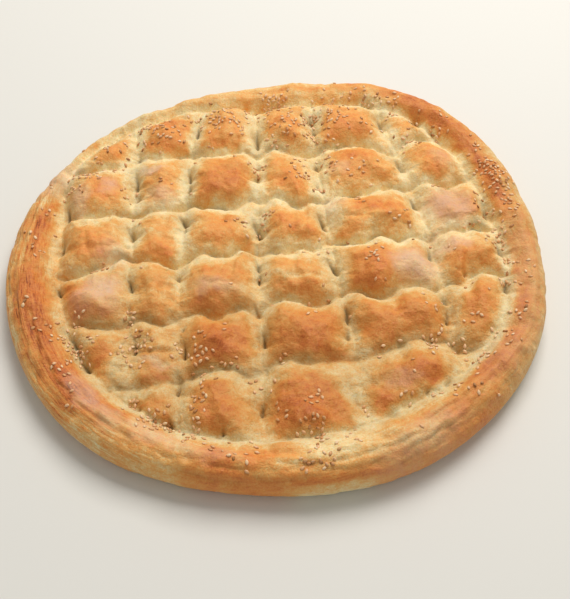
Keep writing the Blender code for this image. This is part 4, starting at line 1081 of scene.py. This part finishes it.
# Sesame: hulled white seed, dry and waxy, cream where it stayed pale and tan where it toasted.
seeds = {
    "length": 3.0 * mm,
    "width": 1.8 * mm,
    "thickness": 1.05 * mm,
    "rings": ((-0.34, 0.66), (-0.06, 1.0), (0.24, 0.72)),  # place along it, and girth
    "sides": 8,
    "lift": 0.28 * mm,  # of a seed's middle, above the crust
    "tilt": 0.16,  # radians at most, from lying flat
    "gap": 2.2 * mm,
    "perSquareMetre": 450000,
    "smallest": 0.85,
    "largest": 1.1,
    "randomSeed": 21,
    "turnSeed": 3,  # and those for how each lies, its size and its toasting
    "sizeSeed": 5,
    "toastSeed": 8,
    "looseShare": 0.006,
    "steepest": (0.9, 0.5),  # none where the crust faces outwards this much, and fewer from there back
    "lowest": 6 * mm,  # above the base
    "colours": (
        (0.0, "#eecca3"), (0.45, "#e4b688"), (0.84, "#d6a06c"), (0.97, "#c18752"), (1.0, "#9f6b3a"),
    ),
    "grain": 0.5 * mm,
    "grainToasts": 0.15,
    "tipToasts": (0.55, 1.0, 0.16),  # from this share of the length to that one, by this much
    "finish": {
        "Roughness": 0.42, "IOR": 1.47, "Subsurface Weight": 0.35,
        "Subsurface Radius": (1.0, 0.65, 0.4), "Subsurface Scale": 0.8 * mm,
    },
    "looser": 1.22,  # how much wider the sprinkled groups lie than they are noted below
    "keptPerSquareMetre": 160000,  # what the least gap leaves of them
    # where they fell: (x, y, spread in mm, how many)
    "clusters": (
        # back row of pillows and the rim behind it
        (-71, 98, 9, 26), (-76, 104, 4, 6), (-70, 86, 6, 6), (-101, 84, 6, 9), (-108, 73, 5, 7),
        (-94, 93, 5, 7), (-96, 65, 3, 3), (-84, 103, 2, 3), (-35, 115, 6, 24), (-28, 107, 4, 10),
        (-24, 100, 3, 7), (-42, 107, 4, 8), (-52, 115, 5, 9), (-60, 108, 4, 4), (-42, 88, 7, 4),
        (-19, 118, 4, 5), (-24, 122, 3, 3), (-2, 134, 4, 13), (-6, 126, 5, 12), (6, 106, 8, 20),
        (4, 94, 6, 7), (14, 112, 4, 6), (38, 115, 9, 32), (36, 104, 10, 16), (32, 94, 9, 7),
        (54, 108, 7, 7), (24, 115, 4, 9), (21, 95, 3, 4), (63, 138, 5, 13), (72, 134, 4, 5),
        (79, 130, 3, 6), (76, 119, 3, 7), (48, 143, 7, 7), (30, 135, 9, 6), (6, 133, 5, 11),
        (60, 128, 5, 4), (88, 132, 3, 3), (107, 110, 4, 6), (103, 103, 3, 5), (114, 104, 4, 7),
        (119, 89, 3, 3), (127, 83, 3, 5), (90, 110, 4, 4), (88, 92, 4, 4), (80, 102, 6, 4),
        # right of the rim
        (129, 68, 4, 14), (133, 62, 5, 22), (138, 55, 5, 20), (143, 62, 3, 7), (137, 45, 4, 16),
        (139, 36, 3, 12), (142, 28, 3, 7), (139, 21, 3, 5), (120, 68, 3, 3), (131, 14, 4, 8),
        (128, 4, 4, 6), (135, -10, 4, 7), (140, -20, 4, 6), (131, -23, 4, 5), (138, -28, 3, 4),
        (131, -50, 3, 4), (135, -47, 4, 5), (125, -60, 4, 7), (124, -67, 4, 5), (131, 30, 3, 3),
        (122, 45, 4, 3),
        # second and third rows
        (-127, 63, 3, 6), (-118, 57, 4, 7), (-126, 50, 3, 7), (-110, 58, 4, 7), (-119, 48, 3, 4),
        (-93, 47, 4, 7), (-140, 55, 2, 3), (-147, 35, 2, 2), (-141, 33, 3, 6), (-65, 55, 3, 2),
        (-13, 70, 4, 6), (-9, 64, 3, 4), (52, 64, 5, 6), (36, 66, 5, 6), (33, 79, 4, 7), (15, 70, 5, 9),
        (15, 60, 4, 7), (8, 56, 5, 4), (26, 50, 2, 4), (63, 78, 3, 2), (52, 36, 4, 7), (75, 28, 5, 5),
        (105, 35, 2, 2), (119, 33, 2, 3), (97, 56, 5, 3), (-5, 28, 4, 6), (-8, 18, 4, 4),
        (-22, 20, 5, 3), (-75, 25, 6, 2), (-145, 10, 4, 6), (-140, -2, 5, 5), (105, 8, 8, 3),
        (117, 24, 5, 3), (14, 4, 8, 3), (40, 8, 8, 3),
        # fourth and fifth rows
        (-97, -13, 4, 8), (-104, -16, 4, 3), (-108, -51, 4, 8), (-113, -45, 2, 2), (-80, -46, 3, 11),
        (58, -10, 4, 4), (52, -25, 5, 5), (20, -30, 5, 3), (60, -2, 4, 3), (-98, -66, 4, 8),
        (-83, -72, 3, 6), (-73, -61, 4, 8), (-73, -66, 4, 6), (-66, -64, 4, 5), (-53, -68, 3, 5),
        (-74, -77, 3, 5), (-39, -65, 3, 3), (-24, -57, 3, 5), (-43, -70, 3, 4), (-38, -75, 4, 12),
        (-38, -82, 4, 9), (-28, -77, 3, 6), (-20, -80, 4, 7), (-14, -83, 2, 2), (-7, -91, 4, 8),
        (4, -75, 3, 4), (18, -59, 5, 2), (25, -55, 3, 1), (58, -54, 4, 3), (82, -43, 5, 3),
        (85, -64, 5, 11), (98, -68, 4, 5), (104, -74, 4, 7), (112, -76, 4, 12), (111, -50, 4, 9),
        (55, -74, 3, 3),
        # left of the rim and the front
        (-136, -43, 3, 5), (-126, -54, 4, 8), (-116, -62, 4, 9), (-107, -68, 3, 10), (-104, -73, 3, 4),
        (-122, -67, 2, 2), (-112, -80, 5, 6), (-110, -87, 3, 4), (-104, -93, 3, 3), (-103, -104, 3, 3),
        (-63, -111, 4, 14), (-56, -114, 4, 10), (-50, -117, 3, 6), (-74, -101, 3, 5), (-47, -106, 3, 4),
        (-40, -100, 4, 8), (-36, -103, 3, 4), (-39, -111, 4, 9), (-40, -117, 3, 6), (-42, -122, 3, 4),
        (-33, -95, 4, 4), (-35, -127, 4, 4), (-27, -131, 3, 3), (-10, -132, 4, 7), (-21, -136, 3, 3),
        (-12, -146, 4, 2), (20, -104, 3, 6), (26, -103, 4, 4), (4, -110, 4, 7), (17, -117, 4, 9),
        (22, -119, 4, 7), (26, -124, 5, 7), (40, -123, 4, 2), (17, -133, 5, 7), (28, -136, 4, 6),
        (15, -142, 3, 4), (25, -142, 3, 7), (47, -145, 3, 1), (47, -105, 3, 5), (70, -104, 5, 5),
        (84, -101, 4, 4), (96, -95, 4, 7), (72, -88, 6, 4), (115, -84, 3, 3), (104, -97, 4, 5),
        (112, -101, 4, 4), (104, -113, 5, 5),
    ),
}


def seedShare(x, y, z, fromSide):
    total = np.full_like(x, seeds["looseShare"])
    for px, py, spread, count in seeds["clusters"]:
        reach = seeds["looser"] * spread * mm
        share = count / (math.pi * reach**2 * seeds["keptPerSquareMetre"])
        total += share * np.exp(-((np.hypot(x - px * mm, y - py * mm) / reach) ** 2))
    steepest, over = seeds["steepest"]
    facesUp = smoothStep((steepest - fromSide) / over)
    return np.clip(total, 0, 1) * facesUp * (z > seeds["lowest"])


def makeSeedShape():
    # a flat drop: blunt end, three rings, pointed end
    rings, sides = seeds["rings"], seeds["sides"]
    points, along = [(-seeds["length"] / 2, 0, 0)], [0.0]
    for share, girth in rings:
        for side in range(sides):
            turn = 2 * math.pi * side / sides
            up = math.sin(turn) * girth * seeds["thickness"] / 2
            points.append((share * seeds["length"], math.cos(turn) * girth * seeds["width"] / 2, up))
            along.append(share + 0.5)
    points.append((seeds["length"] / 2, 0, 0))
    along.append(1.0)
    last = len(points) - 1
    faces = []
    for side in range(sides):
        following = (side + 1) % sides
        faces.append((0, 1 + following, 1 + side))
        for ring in range(len(rings) - 1):
            near, far = 1 + ring * sides + side, 1 + ring * sides + following
            faces.append((near, far, far + sides, near + sides))
        start = 1 + (len(rings) - 1) * sides
        faces.append((last, start + side, start + following))
    shape = addMesh("seedShape", points, faces)
    setAttribute(shape.data, "along", np.array(along))
    shape.data.shade_smooth()
    return shape


def sesameMaterial():
    material, tree, shader = newMaterial("hulled sesame, toasted")
    place = addNode(tree, "ShaderNodeTexCoord").outputs["Object"]
    toast = addNode(tree, "ShaderNodeAttribute", attribute_name="toast").outputs["Fac"]
    along = addNode(tree, "ShaderNodeAttribute", attribute_name="along").outputs["Fac"]
    grain = addNode(tree, "ShaderNodeTexNoise", {
        "Vector": place, "Scale": 1 / seeds["grain"], "Detail": 2.0}).outputs["Fac"]
    start, full, browner = seeds["tipToasts"]
    tip = addNode(tree, "ShaderNodeMapRange", {0: along, 1: start, 2: full, 3: 0.0, 4: browner})
    mixed = addNode(tree, "ShaderNodeMath", {0: toast, 1: tip.outputs[0]}, operation="ADD")
    mixed = addNode(tree, "ShaderNodeMath", {0: grain, 1: seeds["grainToasts"], 2: mixed.outputs[0]},
                    operation="MULTIPLY_ADD")
    mixed = addNode(tree, "ShaderNodeMath", {0: mixed.outputs[0], 1: seeds["grainToasts"] / 2},
                    operation="SUBTRACT")
    ramp = addNode(tree, "ShaderNodeValToRGB", {"Fac": mixed.outputs[0]})
    setColours(ramp, seeds["colours"])
    tree.links.new(ramp.outputs["Color"], shader.inputs["Base Color"])
    for name, value in seeds["finish"].items():
        shader.inputs[name].default_value = value
    return material


def seedTree(shape, material):
    tree = bpy.data.node_groups.new("sprinkleSesame", "GeometryNodeTree")
    tree.is_modifier = True
    face = tree.interface
    face.new_socket("Geometry", in_out="OUTPUT", socket_type="NodeSocketGeometry")
    face.new_socket("Geometry", in_out="INPUT", socket_type="NodeSocketGeometry")
    for name, kind in (("Seed shape", "NodeSocketObject"), ("Per square metre", "NodeSocketFloat"),
                       ("Least gap", "NodeSocketFloat"), ("Smallest", "NodeSocketFloat"),
                       ("Largest", "NodeSocketFloat"), ("Lift", "NodeSocketFloat"),
                       ("Random seed", "NodeSocketInt"), ("Material", "NodeSocketMaterial")):
        face.new_socket(name, in_out="INPUT", socket_type=kind)
    given = addNode(tree, "NodeGroupInput").outputs
    cover = addNode(tree, "GeometryNodeInputNamedAttribute", {"Name": "seedShare"}, data_type="FLOAT")
    points = addNode(tree, "GeometryNodeDistributePointsOnFaces", {
        "Mesh": given["Geometry"], "Distance Min": given["Least gap"],
        "Density Max": given["Per square metre"], "Density Factor": cover.outputs[0],
        "Seed": given["Random seed"]}, distribute_method="POISSON")
    up = addNode(tree, "ShaderNodeVectorMath", {
        0: points.outputs["Normal"], "Scale": given["Lift"]}, operation="SCALE")
    lifted = addNode(tree, "GeometryNodeSetPosition", {
        "Geometry": points.outputs["Points"], "Offset": up.outputs[0]})
    tilt = seeds["tilt"]
    spin = addNode(tree, "FunctionNodeRandomValue", {
        0: (-tilt, -tilt, 0.0), 1: (tilt, tilt, 2 * math.pi), "Seed": seeds["turnSeed"]},
        data_type="FLOAT_VECTOR")
    turned = addNode(tree, "FunctionNodeRotateRotation", {
        0: points.outputs["Rotation"], 1: spin.outputs[0]}, rotation_space="LOCAL")
    size = addNode(tree, "FunctionNodeRandomValue", {
        2: given["Smallest"], 3: given["Largest"], "Seed": seeds["sizeSeed"]}, data_type="FLOAT")
    shapeOf = addNode(tree, "GeometryNodeObjectInfo", {"Object": given["Seed shape"]})
    laid = addNode(tree, "GeometryNodeInstanceOnPoints", {
        "Points": lifted.outputs[0], "Instance": shapeOf.outputs["Geometry"],
        "Rotation": turned.outputs[0], "Scale": size.outputs[1]})
    chance = addNode(tree, "FunctionNodeRandomValue", {
        2: 0.0, 3: 1.0, "Seed": seeds["toastSeed"]}, data_type="FLOAT")
    toned = addNode(tree, "GeometryNodeStoreNamedAttribute", {
        "Geometry": laid.outputs[0], "Name": "toast", "Value": chance.outputs[1]},
        data_type="FLOAT", domain="INSTANCE")
    real = addNode(tree, "GeometryNodeRealizeInstances", {"Geometry": toned.outputs[0]})
    coated = addNode(tree, "GeometryNodeSetMaterial", {
        "Geometry": real.outputs[0], "Material": given["Material"]})
    addNode(tree, "NodeGroupOutput", {"Geometry": coated.outputs[0]})
    values = {
        "Seed shape": shape, "Per square metre": float(seeds["perSquareMetre"]), "Least gap": seeds["gap"],
        "Smallest": seeds["smallest"], "Largest": seeds["largest"], "Lift": seeds["lift"],
        "Random seed": seeds["randomSeed"], "Material": material,
    }
    return tree, values


def makeSeeds(crust):
    shape = makeSeedShape()
    carrier = bpy.data.objects.new("sesameSeeds", crust.data.copy())
    bpy.context.scene.collection.objects.link(carrier)
    tree, values = seedTree(shape, sesameMaterial())
    modifier = carrier.modifiers.new("sprinkle", "NODES")
    modifier.node_group = tree
    for item in tree.interface.items_tree:
        if item.in_out == "INPUT" and item.name in values:
            modifier[item.identifier] = values[item.name]
    graph = bpy.context.evaluated_depsgraph_get()
    mesh = bpy.data.meshes.new_from_object(carrier.evaluated_get(graph))
    carrier.modifiers.clear()
    carrier.data = mesh
    for name in ("bake", "paintedShade", "paintedSheen", "streaky", "rimWay", "seedShare"):  # the crust's own
        if name in mesh.attributes:
            mesh.attributes.remove(mesh.attributes[name])
    count = len(mesh.vertices) // len(shape.data.vertices)
    bpy.data.objects.remove(shape)
    top = max(vertex.co.z for vertex in mesh.vertices)
    print("sesame:", count, "seeds,", len(mesh.polygons), "faces, highest", round(top / mm, 2), "mm")
    return carrier


# Studio: matt floor paint, pale and even, one large soft light from behind and a bright room.
studio = {
    "floorColour": "#e4e2de",
    "floorRoughness": 0.8,
    "floorSize": 8.0,
    "floorDrop": 0.3 * mm,  # below the base
    "lightSize": 0.9,
    "lightFrom": (0.34, 0.77, 1.30),
    "lightPower": 21.4,
    "lightColour": "#fffaf3",
    "roomColour": "#f2f4ee",
    "roomStrength": 0.438,
    "cameraPlace": (5.4 * mm, -354.6 * mm, 421.93 * mm),
    "cameraTilt": 38.0,
    "lens": 55.38,
    "sensor": 36,
}


def makeStudio():
    half = studio["floorSize"] / 2
    material, tree, shader = newMaterial("matt painted floor")
    shader.inputs["Base Color"].default_value = linear(studio["floorColour"])
    shader.inputs["Roughness"].default_value = studio["floorRoughness"]
    corners = [(x * half, y * half, -studio["floorDrop"]) for x, y in ((-1, -1), (1, -1), (1, 1), (-1, 1))]
    floor = addMesh("floor", corners, [(0, 1, 2, 3)], material)

    lamp = bpy.data.lights.new("softbox", "AREA")
    lamp.size = studio["lightSize"]
    lamp.energy = studio["lightPower"]
    lamp.color = linear(studio["lightColour"])[:3]
    softbox = bpy.data.objects.new("softbox", lamp)
    softbox.location = studio["lightFrom"]
    softbox.rotation_euler = (-Vector(studio["lightFrom"])).to_track_quat("-Z", "Y").to_euler()
    bpy.context.scene.collection.objects.link(softbox)

    world = bpy.data.worlds.new("room")
    world.use_nodes = True
    background = world.node_tree.nodes["Background"]
    background.inputs["Color"].default_value = linear(studio["roomColour"])
    background.inputs["Strength"].default_value = studio["roomStrength"]
    bpy.context.scene.world = world
    bpy.context.scene.view_settings.view_transform = "Standard"

    lens = bpy.data.cameras.new("camera")
    lens.sensor_width = studio["sensor"]
    lens.lens = studio["lens"]
    camera = bpy.data.objects.new("camera", lens)
    camera.location = studio["cameraPlace"]
    camera.rotation_euler = (math.radians(studio["cameraTilt"]), 0, 0)
    bpy.context.scene.collection.objects.link(camera)
    bpy.context.scene.camera = camera
    print("studio: floor, light and camera")


crust = makeCrust()
sesameSeeds = makeSeeds(crust)
makeStudio()

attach(crust, "root")
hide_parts("loaf")
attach(sesameSeeds, "root")
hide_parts("loaf")
